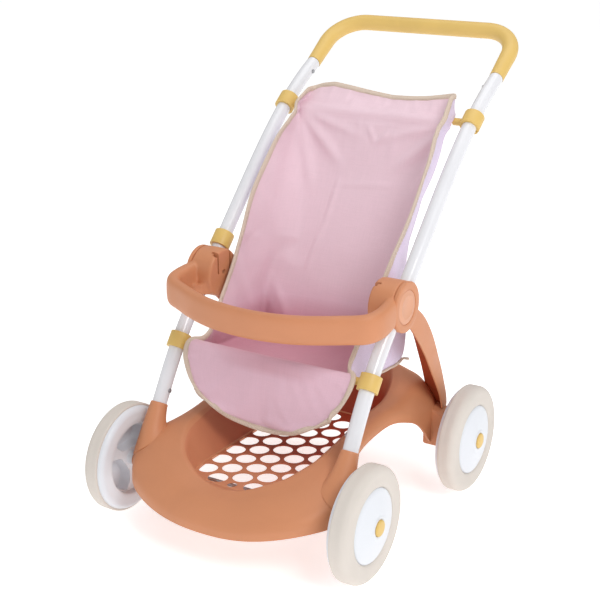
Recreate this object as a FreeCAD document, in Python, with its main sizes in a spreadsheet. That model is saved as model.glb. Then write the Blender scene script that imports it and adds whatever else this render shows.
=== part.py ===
# Doll stroller: moulded base with an open-floored basket, two bent steel side
# tubes, a U-shaped push handle, a bumper bar held at two hubs, a sewn sling
# seat on two cross rods, and four wheels that turn on two steel axles.
#
# Frame: +Z up, the floor at z = 0, the front of the stroller faces -Y and the
# handle is at +Y.  +X is the stroller's own left side.  Millimetres.
import FreeCAD, Part
import os
import math
import Sketcher
from FreeCAD import Vector, Rotation, Placement

doc = FreeCAD.newDocument("doll_stroller")
sheet = doc.addObject("Spreadsheet::Sheet", "Sizes")

CELLS = [
    # wheels and axles
    ("wheel_radius", 67.0), ("wheel_centre_x", 164.0), ("tyre_width", 27.0),
    ("tyre_round", 7.9), ("rim_radius", 46.2), ("disc_radius", 42.6),
    ("disc_edge_out", 12.2), ("disc_dome_out", 19.6), ("pocket_radius", 42.0),
    ("hub_radius", 8.6), ("axle_radius", 3.0), ("wheel_bore_radius", 3.06),
    ("axle_half_length", 183.0), ("rear_stub_in", 109.0), ("cap_radius", 9.5), ("cap_out", 21.9),
    ("front_axle_y", -193.4), ("rear_axle_y", 69.6),
    # base moulding and basket
    ("base_half_width", 144.0), ("base_wall", 2.6), ("basket_floor_z", 77.0),
    ("floor_thickness", 1.2), ("hole_radius", 12.0), ("hole_pitch_x", 24.6),
    ("hole_pitch_y", 29.15), ("lug_out", 149.4), ("boss_radius", 11.0),
    # frame tubes and handle
    ("tube_x", 131.4), ("tube_radius", 9.0), ("tube_bore_radius", 7.8),
    ("handle_grip_radius", 10.25), ("handle_spigot_radius", 7.55),
    ("handle_side_length", 86.0), ("handle_bend_radius", 44.0),
    ("handle_slope", 34.2), ("handle_foot_y", 190.1), ("handle_foot_z", 496.8),
    ("leg_top_radius", 10.6), ("leg_foot_radius", 17.5),
    # hubs, arms and bumper bar
    ("hub_disc_radius", 29.9), ("hub_disc_out", 144.0), ("hub_disc_thick", 5.0),
    ("hub_in", 108.0), ("hub_y", -61.4), ("hub_z", 273.7),
    ("badge_radius", 20.0), ("badge_depth", 1.2), ("arm_depth", 28.5),
    ("bar_height", 33.0), ("bar_depth", 17.0),
    # clips and rods
    ("clip_radius", 12.6), ("clip_bore_radius", 9.15), ("clip_length", 19.0),
    ("peg_radius", 4.6), ("rod_radius", 2.4), ("rod_half_length", 115.0),
    ("screw_head_radius", 2.6), ("screw_radius", 1.4),
    # seat cloth
    ("cloth_half_width", 104.0), ("cloth_thickness", 1.6),
]
V = {}
for row, (alias, value) in enumerate(CELLS, start=1):
    sheet.set("A%d" % row, alias)
    sheet.set("B%d" % row, repr(value))
    sheet.setAlias("B%d" % row, alias)
    V[alias] = value
doc.recompute()

FRONT_Y = V["front_axle_y"]          # everything along Y is laid out from the front axle
PARTS = []                           # (node name, document object)


class Dim:
    """A length that is a sum of sheet cells and a constant."""
    def __init__(self, const=0.0, **cells):
        self.value = const + sum(k * V[c] for c, k in cells.items())
        terms = ["%r * Sizes.%s" % (k, c) for c, k in cells.items()]
        self.text = " + ".join(terms + ["%r" % const])


def bind(obj, prop, dim):
    obj.setExpression(prop, dim.text)


def place(obj, point, direction=Vector(0, 0, 1)):
    obj.Placement = Placement(Vector(*point), Rotation(Vector(0, 0, 1), Vector(*direction)))


def cylinder(name, radius, height, point, direction):
    c = doc.addObject("Part::Cylinder", name)
    bind(c, "Radius", radius)
    bind(c, "Height", height)
    c.Radius, c.Height = radius.value, height.value
    place(c, point, direction)
    return c


def box(name, x, y, z):
    b = doc.addObject("Part::Box", name)
    b.Length, b.Width, b.Height = x[1] - x[0], y[1] - y[0], z[1] - z[0]
    b.Placement.Base = Vector(x[0], y[0], z[0])
    return b


def cut(name, base, *tools):
    tool = tools[0]
    if len(tools) > 1:
        tool = doc.addObject("Part::MultiFuse", name + "_tools")
        tool.Shapes = list(tools)
    c = doc.addObject("Part::Cut", name)
    c.Base, c.Tool = base, tool
    return c


def fuse(name, *shapes):
    f = doc.addObject("Part::MultiFuse", name)
    f.Shapes = list(shapes)
    return f


def common(name, a, b):
    c = doc.addObject("Part::MultiCommon", name)
    c.Shapes = [a, b]
    return c


def solid_feature(name, shape):
    f = doc.addObject("Part::Feature", name)
    f.Shape = shape
    f.Placement = Placement()
    return f


def keep(node, obj):
    obj.Label = node
    PARTS.append((node, obj))
    return obj


def plane_of(body, role):
    return [o for o in body.Origin.OriginFeatures if o.Role == role][0]


def polygon_sketch(body, name, role, verts):
    """Closed outline; every corner is dimensioned from the origin and bound to the sheet."""
    sk = body.newObject("Sketcher::SketchObject", name)
    sk.AttachmentSupport = [(plane_of(body, role), "")]
    sk.MapMode = "FlatFace"
    n = len(verts)
    pts = [Vector(a.value, b.value, 0) for a, b in verts]
    for i in range(n):
        sk.addGeometry(Part.LineSegment(pts[i], pts[(i + 1) % n]), False)
    for i in range(n):
        sk.addConstraint(Sketcher.Constraint("Coincident", i, 2, (i + 1) % n, 1))
    for i, (a, b) in enumerate(verts):
        for kind, dim in (("DistanceX", a), ("DistanceY", b)):
            k = sk.addConstraint(Sketcher.Constraint(kind, -1, 1, i, 1, dim.value))
            sk.setExpression("Constraints[%d]" % k, dim.text)
    return sk


def circle_sketch(body, name, role, cx, cy, radius):
    sk = body.newObject("Sketcher::SketchObject", name)
    sk.AttachmentSupport = [(plane_of(body, role), "")]
    sk.MapMode = "FlatFace"
    sk.addGeometry(Part.Circle(Vector(cx, cy, 0), Vector(0, 0, 1), radius.value), False)
    k = sk.addConstraint(Sketcher.Constraint("Radius", 0, radius.value))
    sk.setExpression("Constraints[%d]" % k, radius.text)
    if cx == 0 and cy == 0:
        sk.addConstraint(Sketcher.Constraint("Coincident", 0, 3, -1, 1))
    else:
        sk.addConstraint(Sketcher.Constraint("DistanceX", -1, 1, 0, 3, cx))
        sk.addConstraint(Sketcher.Constraint("DistanceY", -1, 1, 0, 3, cy))
    return sk


def revolved_body(name, verts):
    """Body turned about its own X axis from an outline in the XY plane (x along, y radius)."""
    body = doc.addObject("PartDesign::Body", name)
    sk = polygon_sketch(body, name + "_outline", "XY_Plane", verts)
    rev = body.newObject("PartDesign::Revolution", name + "_turned")
    rev.Profile = sk
    rev.ReferenceAxis = (sk, ["H_Axis"])
    rev.Angle = 360.0
    return body


# ---------------------------------------------------------------- wheels
HALF_W = {"tyre_width": 0.5}


def tyre_body(name):
    r = "wheel_radius"
    verts = [
        (Dim(-7.0), Dim(rim_radius=1.0)),
        (Dim(-7.0), Dim(-1.2, wheel_radius=1.0)),
        (Dim(-5.6), Dim(0.0, wheel_radius=1.0)),
        (Dim(-7.9, tyre_width=0.5), Dim(0.0, wheel_radius=1.0)),
    ]
    for deg in (75, 60, 45, 30, 15, 0):          # rounded outer shoulder
        a = math.radians(deg)
        k = V["tyre_round"]
        verts.append((Dim(-k + k * math.cos(a), tyre_width=0.5),
                      Dim(-k + k * math.sin(a), wheel_radius=1.0)))
    verts += [
        (Dim(0.0, tyre_width=0.5), Dim(8.0, disc_radius=1.0)),
        (Dim(-0.6, tyre_width=0.5), Dim(3.0, disc_radius=1.0)),
        (Dim(-2.4, tyre_width=0.5), Dim(1.2, disc_radius=1.0)),
        (Dim(-4.6, tyre_width=0.5), Dim(1.2, disc_radius=1.0)),
        (Dim(-4.6, tyre_width=0.5), Dim(rim_radius=1.0)),
    ]
    return revolved_body(name, verts)


def rim_body(name):
    verts = [
        (Dim(-14.0), Dim(wheel_bore_radius=1.0)),
        (Dim(-14.0), Dim(hub_radius=1.0)),
        (Dim(-6.5), Dim(hub_radius=1.0)),
        (Dim(-6.5), Dim(0.9, pocket_radius=1.0)),
        (Dim(-12.4), Dim(1.6, pocket_radius=1.0)),
        (Dim(-13.5), Dim(2.6, pocket_radius=1.0)),
        (Dim(-13.5), Dim(-10.0, wheel_radius=1.0)),
        (Dim(-12.7), Dim(-6.6, wheel_radius=1.0)),
        (Dim(-10.6), Dim(-4.2, wheel_radius=1.0)),
        (Dim(-7.3), Dim(-3.0, wheel_radius=1.0)),
        (Dim(-7.3), Dim(-0.3, rim_radius=1.0)),
        (Dim(8.6), Dim(-0.3, rim_radius=1.0)),
        (Dim(8.6), Dim(0.8, disc_radius=1.0)),
        (Dim(-1.2, disc_edge_out=1.0), Dim(0.7, disc_radius=1.0)),
        (Dim(disc_edge_out=1.0), Dim(-0.2, disc_radius=1.0)),
        (Dim(-2.6, disc_dome_out=1.0), Dim(-14.6, disc_radius=1.0)),
        (Dim(-0.9, disc_dome_out=1.0), Dim(-24.6, disc_radius=1.0)),
        (Dim(disc_dome_out=1.0), Dim(1.1, cap_radius=1.0)),
        (Dim(disc_dome_out=1.0), Dim(0.35, cap_radius=1.0)),
        (Dim(-2.6, disc_dome_out=1.0), Dim(0.35, cap_radius=1.0)),
        (Dim(-2.6, disc_dome_out=1.0), Dim(wheel_bore_radius=1.0)),
    ]
    body = revolved_body(name, verts)
    doc.recompute()
    before = body.Shape.Volume
    # three deep pockets on the inner side leave three broad spokes round the hub
    pr = V["pocket_radius"] - 0.8
    outline = []
    for deg in (-41, -30, -15, 0, 15, 30, 41):
        a = math.radians(deg)
        outline.append((pr * math.cos(a), pr * math.sin(a)))
    outline += [(24.0, 24.5), (13.5, 15.5), (12.2, 0.0), (13.5, -15.5), (24.0, -24.5)]
    sk = polygon_sketch(body, name + "_pocket_outline", "YZ_Plane",
                        [(Dim(a), Dim(b)) for a, b in outline])
    sk.AttachmentOffset = Placement(Vector(0, 0, -6.5), Rotation())
    pocket = body.newObject("PartDesign::Pocket", name + "_pocket")
    pocket.Profile = sk
    pocket.Length = 15.0
    pocket.Reversed = True
    doc.recompute()
    if body.Shape.Volume > before - 100:
        pocket.Reversed = False
        doc.recompute()
    one = before - body.Shape.Volume
    pattern = body.newObject("PartDesign::PolarPattern", name + "_pockets")
    pattern.Originals = [pocket]
    pattern.Axis = (plane_of(body, "X_Axis"), [""])
    pattern.Angle = 360.0
    pattern.Occurrences = 3
    body.Tip = pattern
    doc.recompute()
    if one < 100 or body.Shape.Volume > before - 2.5 * one:
        raise RuntimeError("wheel pockets did not cut")
    return body


def cap_body(name):
    verts = [
        (Dim(-2.2, disc_dome_out=1.0), Dim(cap_radius=1.0)),
        (Dim(-1.4, cap_out=1.0), Dim(cap_radius=1.0)),
        (Dim(-0.5, cap_out=1.0), Dim(-0.8, cap_radius=1.0)),
        (Dim(-0.1, cap_out=1.0), Dim(-2.6, cap_radius=1.0)),
        (Dim(0.0, cap_out=1.0), Dim(0.0)),
        (Dim(-1.6, cap_out=1.0), Dim(0.0)),
        (Dim(-1.6, cap_out=1.0), Dim(-1.7, cap_radius=1.0)),
        (Dim(-2.2, disc_dome_out=1.0), Dim(-1.7, cap_radius=1.0)),
    ]
    return revolved_body(name, verts)


for side, sx in (("left", 1), ("right", -1)):
    for end, cell in (("front", "front_axle_y"), ("rear", "rear_axle_y")):
        spot = Placement(Vector(sx * V["wheel_centre_x"], V[cell], V["wheel_radius"]),
                         Rotation(Vector(0, 0, 1), 0 if sx > 0 else 180))
        for piece, maker in (("tyre", tyre_body), ("rim", rim_body), ("cap", cap_body)):
            node = "%s_%s_wheel_%s" % (end, side, piece)
            b = maker(node)
            b.Placement = spot
            b.setExpression(".Placement.Base.x", "%d * Sizes.wheel_centre_x" % sx)
            b.setExpression(".Placement.Base.y", "Sizes.%s" % cell)
            b.setExpression(".Placement.Base.z", "Sizes.wheel_radius")
            keep(node, b)

# ---------------------------------------------------------------- axles
# one rod right through at the front, a stub on each side at the rear
c = cylinder("front_axle", Dim(axle_radius=1.0), Dim(axle_half_length=2.0),
             (-V["axle_half_length"], V["front_axle_y"], V["wheel_radius"]), (1, 0, 0))
keep("front_axle", c)
stubs = doc.addObject("Part::Compound", "rear_axle_group")
stubs.Links = [cylinder("rear_stub_" + t, Dim(axle_radius=1.0), Dim(-V["rear_stub_in"], axle_half_length=1.0),
                        (sx * V["rear_stub_in"], V["rear_axle_y"], V["wheel_radius"]), (sx, 0, 0))
               for t, sx in (("l", 1), ("r", -1))]
keep("rear_axle_stubs", stubs)

# push-on washers that hold the wheels, one at each axle end, under the caps
washers = []
for sx in (1, -1):
    for cell in ("front_axle_y", "rear_axle_y"):
        x0 = V["wheel_centre_x"] + V["disc_dome_out"] - 2.2
        tag = "washer_%s_%s" % ("l" if sx > 0 else "r", cell[0])
        disc = cylinder(tag, Dim(-2.6, cap_radius=1.0), Dim(1.0),
                        (sx * x0, V[cell], V["wheel_radius"]), (sx, 0, 0))
        hole = cylinder(tag + "_hole", Dim(0.01, axle_radius=1.0), Dim(3.0),
                        (sx * (x0 - 1), V[cell], V["wheel_radius"]), (sx, 0, 0))
        washers.append(cut(tag + "_ring", disc, hole))
comp = doc.addObject("Part::Compound", "axle_washers_group")
comp.Links = washers
keep("axle_push_washers", comp)

# ---------------------------------------------------------------- base moulding
# Stations run round the right-hand half of the basket from the nose to the tail.
# Each holds the basket wall foot, the inner lip, the ridge, the crown, the widest
# edge and the skirt's bottom edge, as (x, y, z) from the front axle.
SX = V["base_half_width"] / 144.0
DZ = V["basket_floor_z"] - 77.0
STATIONS = [
    ((0, -24), (0, -30, 79.5), (0, -36, 81.5), (0, -60, 76), (0, -77, 57), (0, -78, 45)),
    ((25, -22), (28, -29, 84), (30, -34, 86.5), (38, -57, 78), (42, -75, 59), (42, -76, 47)),
    ((45, -16), (50, -20, 92), (53, -25, 95), (68, -49, 86), (80, -67, 66), (80, -68, 53)),
    ((57, -6), (67, -8, 99), (72, -11, 102), (96, -32, 95), (115, -48, 75), (114, -50, 60)),
    ((62, 8), (77, 6, 105.5), (84, 5, 109), (113, -10, 104), (135, -24, 84), (134, -27, 63)),
    ((63, 25), (84, 24, 110), (91, 24, 114.5), (121, 14, 112), (144, 2, 89), (142, -2, 66)),
    ((63, 45), (86, 44, 113.5), (93, 44, 118), (114, 40, 116), (132, 34, 102), (132, 32, 82)),
    ((63, 70), (87, 70, 117.5), (94, 70, 121.5), (108, 69, 121), (118, 66, 112), (117, 66, 103)),
    ((63, 100), (87, 100, 121.5), (94, 100, 125.5), (105, 100, 126), (114, 100, 120), (114, 100, 112)),
    ((63, 130), (86, 130, 124), (93, 130, 128), (105, 130, 129), (114, 130, 122), (114, 130, 114)),
    ((63, 160), (86, 160, 126), (93, 160, 130), (106, 161, 129.5), (115, 162, 121), (115, 162, 112)),
    ((62, 188), (85, 192, 129), (93, 194, 132.5), (108, 196, 128.5), (119, 197, 115), (119, 197, 101)),
    ((60, 208), (80, 220, 140), (90, 224, 141), (110, 230, 132), (122, 234, 108), (122, 228, 81)),
    ((53, 221), (69, 240, 149), (81, 247, 149), (104, 258, 137), (122, 266, 105), (122, 254, 54)),
    ((40, 229), (54, 249, 151), (62, 257, 151), (80, 272, 135), (96, 287, 106), (97, 289, 62)),
    ((20, 232), (28, 252, 151), (32, 261, 151), (40, 278, 136), (48, 293, 106), (48, 295, 64)),
    ((0, 233), (0, 253, 151), (0, 262, 151), (0, 279, 136), (0, 295, 106), (0, 297, 64)),
]


def station_points(st, mirror):
    m = -1 if mirror else 1
    pts = [(m * p[0] * SX, p[1] + FRONT_Y, (p[2] if len(p) > 2 else 77.0) + DZ) for p in st]
    return [Vector(*p) for p in pts]


def ring_stations():
    right = [station_points(s, False) for s in STATIONS]
    left = [station_points(s, True) for s in STATIONS[1:-1]]
    return right + left[::-1]


def shell_section(pts):
    """Closed outline of the wall at one station: top skin out, under skin back."""
    foot = pts[0]
    across = Vector(pts[-1].x - foot.x, pts[-1].y - foot.y, 0)
    across.normalize()
    t = V["base_wall"]
    zl = V["basket_floor_z"] - V["floor_thickness"] - 0.3
    top = [foot - across * 3.6, Vector(foot), *[Vector(p) for p in pts[1:]]]
    top[0].z = zl
    top[1].z = zl
    flat = [((p - foot).dot(across), p.z) for p in top]
    under = []
    for i in range(1, len(top)):
        a = flat[i - 1]
        b = flat[i]
        c = flat[min(i + 1, len(top) - 1)]
        n1 = math.hypot(b[0] - a[0], b[1] - a[1])
        d1 = ((b[0] - a[0]) / n1, (b[1] - a[1]) / n1)
        if i + 1 < len(top):
            n2 = math.hypot(c[0] - b[0], c[1] - b[1])
            d2 = ((c[0] - b[0]) / n2, (c[1] - b[1]) / n2)
        else:
            d2 = d1
        na, nb = (d1[1], -d1[0]), (d2[1], -d2[0])
        k = 1.0 + na[0] * nb[0] + na[1] * nb[1]
        off = (t * (na[0] + nb[0]) / k, t * (na[1] + nb[1]) / k)
        if i == len(top) - 1:
            off = (off[0], 0.0)
        p = top[i] + across * off[0]
        p.z = top[i].z + off[1]
        under.append(p)
    end = Vector(top[0])
    end.z = zl - t
    return top + under[::-1] + [end]


def solid_section(pts, lift, floor_z):
    """Everything under the top skin, used to seat the legs on the deck."""
    across = Vector(pts[-1].x - pts[0].x, pts[-1].y - pts[0].y, 0)
    across.normalize()
    top = [Vector(p.x, p.y, p.z + lift) + across * (lift if i > 2 else 0.0) for i, p in enumerate(pts)]
    out = top[-1]
    low = [Vector(out.x, out.y, floor_z), Vector(pts[0].x, pts[0].y, floor_z)]
    return top + low


def ring_solid(sections):
    """Closed ring of flat and twisted strips between neighbouring section outlines."""
    faces = []
    n = len(sections)
    k = len(sections[0])
    for i in range(n):
        a, b = sections[i], sections[(i + 1) % n]
        for j in range(k):
            p, q = a[j], a[(j + 1) % k]
            r, s = b[(j + 1) % k], b[j]
            for tri in ((p, q, r), (p, r, s)):
                wire = Part.makePolygon([tri[0], tri[1], tri[2], tri[0]])
                faces.append(Part.Face(wire))
    shell = Part.Shell(faces)
    shell.sewShape()
    made = Part.Solid(shell)
    if made.Volume < 0:
        made.reverse()
    return made


ring = ring_stations()
base_skin = solid_feature("base_skin", ring_solid([shell_section(p) for p in ring]))

bosses = []
for sx in (1, -1):
    tag = "l" if sx > 0 else "r"
    lo = 116.0
    # front axle boss and the rib that hangs it under the deck
    bosses.append(cylinder("front_boss_" + tag, Dim(boss_radius=1.0), Dim(-lo, lug_out=1.0),
                           (sx * lo, V["front_axle_y"], V["wheel_radius"]), (sx, 0, 0)))
    x = (lo, 134.0) if sx > 0 else (-134.0, -lo)
    bosses.append(box("front_rib_" + tag, x, (V["front_axle_y"] - 8, V["front_axle_y"] + 8),
                      (V["wheel_radius"], 94.0)))
    # square rear lug
    x = (lo, V["lug_out"]) if sx > 0 else (-V["lug_out"], -lo)
    bosses.append(box("rear_lug_" + tag, x, (V["rear_axle_y"] - 15, V["rear_axle_y"] + 15),
                      (52.0, 104.0)))
base_all = fuse("base_blank", base_skin, *bosses)
bores = []
for end in ("front", "rear"):
    bores.append(cylinder(end + "_axle_bore", Dim(0.02, axle_radius=1.0), Dim(400.0),
                          (-200.0, V[end + "_axle_y"], V["wheel_radius"]), (1, 0, 0)))
keep("base_tray", cut("base_tray_cut", base_all, *bores))

# ---------------------------------------------------------------- basket floor
floor_body = doc.addObject("PartDesign::Body", "floor_body")
foot = [p[0] for p in ring]
cx0, cy0 = 0.0, sum(p.y for p in foot) / len(foot)
outline = []
for p in foot:
    dvec = Vector(p.x - cx0, p.y - cy0, 0)
    length = dvec.Length
    outline.append((cx0 + dvec.x * (length - 0.9) / length, cy0 + dvec.y * (length - 0.9) / length))
half = V["base_half_width"]
fsk = polygon_sketch(floor_body, "floor_outline", "XY_Plane",
                     [(Dim(0.0, base_half_width=a / half) if abs(a) > 1e-6 else Dim(0.0), Dim(b))
                      for a, b in outline])
pad = floor_body.newObject("PartDesign::Pad", "floor_pad")
pad.Profile = fsk
bind(pad, "Length", Dim(floor_thickness=1.0))
doc.recompute()
hsk = floor_body.newObject("Sketcher::SketchObject", "floor_holes_plan")
hsk.AttachmentSupport = [(plane_of(floor_body, "XY_Plane"), "")]
hsk.MapMode = "FlatFace"
hk = 0
for col in range(-2, 3):
    first = 8.0 if col % 2 == 0 else -6.55
    for i in range(-1, 9):
        yy = first + i * V["hole_pitch_y"]
        if yy < (-22.0 if col == 0 else -7.0 if abs(col) == 1 else -3.0) or yy > 219.0 or (abs(col) == 2 and yy > 204.0):
            continue
        xx = col * V["hole_pitch_x"]
        if yy < -20:
            # the foremost hole is a small one, so that a rim of the plate is left before it
            hsk.addGeometry(Part.Circle(Vector(xx, -13.6 + FRONT_Y, 0), Vector(0, 0, 1), 6.0), False)
            k = hsk.addConstraint(Sketcher.Constraint("Radius", hk, 6.0))
        else:
            hsk.addGeometry(Part.Circle(Vector(xx, yy + FRONT_Y, 0), Vector(0, 0, 1), V["hole_radius"]), False)
            k = hsk.addConstraint(Sketcher.Constraint("Radius", hk, V["hole_radius"]))
            hsk.setExpression("Constraints[%d]" % k, "Sizes.hole_radius")
        hk += 1
cutter = floor_body.newObject("PartDesign::Pocket", "floor_holes")
cutter.Profile = hsk
cutter.Type = 1
cutter.Midplane = True
before = floor_body.Shape.Volume
doc.recompute()
if floor_body.Shape.Volume > before - 1000:
    raise RuntimeError("basket floor holes did not cut")
floor_body.Placement.Base = Vector(0, 0, V["basket_floor_z"] - V["floor_thickness"])
keep("basket_floor", floor_body)

# ---------------------------------------------------------------- side tubes
# Centre line of one tube in the side view, (y, z) from the front axle.
TUBE_LINE = [(15.1, 116.4), (26.0, 134.7), (67.9, 200.6), (132.0, 272.5),
             (200.0, 343.0), (316.3, 454.2), (383.5, 496.8)]


def tube_curve(x):
    c = Part.BSplineCurve()
    c.interpolate([Vector(x, y + FRONT_Y, z) for y, z in TUBE_LINE])
    return c


def tube_point(x, z):
    """Point and direction of the tube's centre line at height z."""
    c = tube_curve(x)
    lo, hi = c.FirstParameter, c.LastParameter
    for _ in range(60):
        mid = 0.5 * (lo + hi)
        if c.value(mid).z < z:
            lo = mid
        else:
            hi = mid
    p = c.value(lo)
    t = c.tangent(lo)[0]
    t.normalize()
    return p, t


def swept(curve, radius):
    path = Part.Wire([curve.toShape()])
    start = curve.value(curve.FirstParameter)
    t = curve.tangent(curve.FirstParameter)[0]
    ring_edge = Part.makeCircle(radius, start, t)
    made = path.makePipeShell([Part.Wire([ring_edge])], True, False)
    if made.ShapeType != "Solid":
        made = made.Solids[0] if made.Solids else Part.Solid(made)
    if made.Volume < 0:
        made.reverse()
    return made


def screw_hole(name, sx, y, z, radius, x0, length):
    return cylinder(name, radius, Dim(length), (sx * x0, y, z), (sx, 0, 0))


HANDLE_SCREW, _ = tube_point(V["tube_x"], 488.0)
FOOT_SCREW, _ = tube_point(V["tube_x"], 149.0)
for side, sx in (("left", 1), ("right", -1)):
    curve = tube_curve(sx * V["tube_x"])
    outer = swept(curve, V["tube_radius"])
    inner = swept(curve, V["tube_bore_radius"])
    blank = solid_feature(side + "_tube_blank", outer.cut(inner))
    holes = [cylinder("%s_tube_hole_%d" % (side, i), Dim(0.2, screw_radius=1.0), Dim(9.0),
                      (sx * (V["tube_x"] - 9.5), p.y, p.z), (sx, 0, 0))
             for i, p in enumerate((HANDLE_SCREW, FOOT_SCREW))]
    keep(side + "_frame_tube", cut(side + "_tube_cut", blank, *holes))

# ---------------------------------------------------------------- handle
handle = doc.addObject("PartDesign::Body", "handle_body")
spine = handle.newObject("Sketcher::SketchObject", "handle_spine")
spine.AttachmentSupport = [(plane_of(handle, "XY_Plane"), "")]
spine.MapMode = "FlatFace"
hx, hl, hr = V["tube_x"], V["handle_side_length"], V["handle_bend_radius"]
spine.addGeometry(Part.LineSegment(Vector(-hx, 0, 0), Vector(-hx, hl - hr, 0)), False)
spine.addGeometry(Part.ArcOfCircle(Part.Circle(Vector(-hx + hr, hl - hr, 0), Vector(0, 0, 1), hr),
                                   math.pi / 2, math.pi), False)
spine.addGeometry(Part.LineSegment(Vector(-hx + hr, hl, 0), Vector(hx - hr, hl, 0)), False)
spine.addGeometry(Part.ArcOfCircle(Part.Circle(Vector(hx - hr, hl - hr, 0), Vector(0, 0, 1), hr),
                                   0, math.pi / 2), False)
spine.addGeometry(Part.LineSegment(Vector(hx, hl - hr, 0), Vector(hx, 0, 0)), False)
for con in (("Tangent", 0, 2, 1, 2), ("Tangent", 1, 1, 2, 1), ("Tangent", 2, 2, 3, 2),
            ("Tangent", 3, 1, 4, 1)):
    spine.addConstraint(Sketcher.Constraint(*con))
for kind, geo, pos, dim in (("DistanceX", 0, 1, Dim(tube_x=-1.0)), ("DistanceY", 0, 1, None),
                            ("DistanceX", 4, 2, Dim(tube_x=1.0)), ("DistanceY", 4, 2, None),
                            ("DistanceY", 2, 1, Dim(handle_side_length=1.0))):
    val = dim.value if dim else 0.0
    k = spine.addConstraint(Sketcher.Constraint(kind, -1, 1, geo, pos, val))
    if dim:
        spine.setExpression("Constraints[%d]" % k, dim.text)
spine.addConstraint(Sketcher.Constraint("Vertical", 0))
spine.addConstraint(Sketcher.Constraint("Vertical", 4))
spine.addConstraint(Sketcher.Constraint("Horizontal", 2))
for geo in (1, 3):
    k = spine.addConstraint(Sketcher.Constraint("Radius", geo, hr))
    spine.setExpression("Constraints[%d]" % k, "Sizes.handle_bend_radius")
doc.recompute()
grip = circle_sketch(handle, "handle_section", "XZ_Plane", -hx, 0.0, Dim(handle_grip_radius=1.0))
pipe = handle.newObject("PartDesign::AdditivePipe", "handle_pipe")
pipe.Profile = grip
pipe.Spine = (spine, ["Edge1", "Edge2", "Edge3", "Edge4", "Edge5"])
doc.recompute()
tilt = Rotation(Vector(1, 0, 0), V["handle_slope"])
handle.Placement = Placement(Vector(0, V["handle_foot_y"], V["handle_foot_z"]), tilt)
spigots, cores = [], []
for sx in (1, -1):
    down = Vector(0, -math.cos(math.radians(V["handle_slope"])),
                  -math.sin(math.radians(V["handle_slope"])))
    start = Vector(sx * V["tube_x"], V["handle_foot_y"], V["handle_foot_z"])
    tag = "l" if sx > 0 else "r"
    end_p, end_t = tube_point(sx * V["tube_x"], V["handle_foot_z"])
    follow = swept(tube_curve(sx * V["tube_x"]), V["handle_spigot_radius"] - 0.05)
    reach = Part.makeCylinder(40.0, 24.0, end_p - end_t * 24.0, end_t)
    spigots.append(solid_feature("handle_spigot_" + tag, follow.common(reach)))
    spigots.append(cylinder("handle_neck_" + tag, Dim(-0.1, handle_spigot_radius=1.0), Dim(5.0),
                            tuple(end_p - end_t * 1.5), tuple(end_t)))
    cores.append(cylinder("handle_screw_bore_" + tag, Dim(0.1, screw_radius=1.0), Dim(12.0),
                          (sx * (V["tube_x"] - 9.0), HANDLE_SCREW.y, HANDLE_SCREW.z), (sx, 0, 0)))
handle_blank = fuse("handle_blank", handle, *spigots)
# the grip is trimmed square to the tube ends, a hair above them
gap, slimming = [], []
for sx in (1, -1):
    tag = "l" if sx > 0 else "r"
    p, t = tube_point(sx * V["tube_x"], V["handle_foot_z"])
    ringo = cylinder("handle_gap_" + tag, Dim(5.5, handle_grip_radius=1.0), Dim(8.0),
                     tuple(p + t * 0.35 - t * 8.0), tuple(t))
    core = cylinder("handle_gap_core_" + tag, Dim(-0.05, handle_spigot_radius=1.0), Dim(12.0),
                    tuple(p - t * 10.0), tuple(t))
    gap.append(cut("handle_gap_ring_" + tag, ringo, core))
    # each leg of the grip narrows towards the tube
    along = Vector(0, math.cos(math.radians(V["handle_slope"])), math.sin(math.radians(V["handle_slope"])))
    foot = Vector(sx * V["tube_x"], V["handle_foot_y"], V["handle_foot_z"])
    sleeve = cylinder("handle_taper_out_" + tag, Dim(4.0, handle_grip_radius=1.0), Dim(42.5),
                      tuple(foot - along * 0.5), tuple(along))
    slim = doc.addObject("Part::Cone", "handle_taper_" + tag)
    slim.Radius1, slim.Radius2, slim.Height = 9.2, V["handle_grip_radius"] + 0.02, 43.0
    bind(slim, "Radius2", Dim(0.02, handle_grip_radius=1.0))
    place(slim, tuple(foot - along * 0.75), tuple(along))
    slimming.append(cut("handle_taper_ring_" + tag, sleeve, slim))
handle_slim = cut("handle_slim", handle_blank, *slimming)
handle_trim = cut("handle_trim", handle_slim, *gap)
keep("handle", cut("handle_cut", handle_trim, *cores))


def screw(tag, sx, x_head, y, z, length):
    """Pan-head screw whose head faces the middle of the stroller."""
    head = cylinder(tag + "_head", Dim(screw_head_radius=1.0), Dim(1.2),
                    (sx * (x_head - 1.3), y, z), (sx, 0, 0))
    shank = cylinder(tag + "_shank", Dim(screw_radius=1.0), Dim(length),
                     (sx * (x_head - 0.2), y, z), (sx, 0, 0))
    return fuse(tag, head, shank)


inner_face = V["tube_x"] - V["tube_radius"]
group = doc.addObject("Part::Compound", "handle_screw_group")
group.Links = [screw("handle_screw_" + t, s, inner_face, HANDLE_SCREW.y, HANDLE_SCREW.z, 8.0)
               for t, s in (("l", 1), ("r", -1))]
keep("handle_screws", group)

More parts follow.
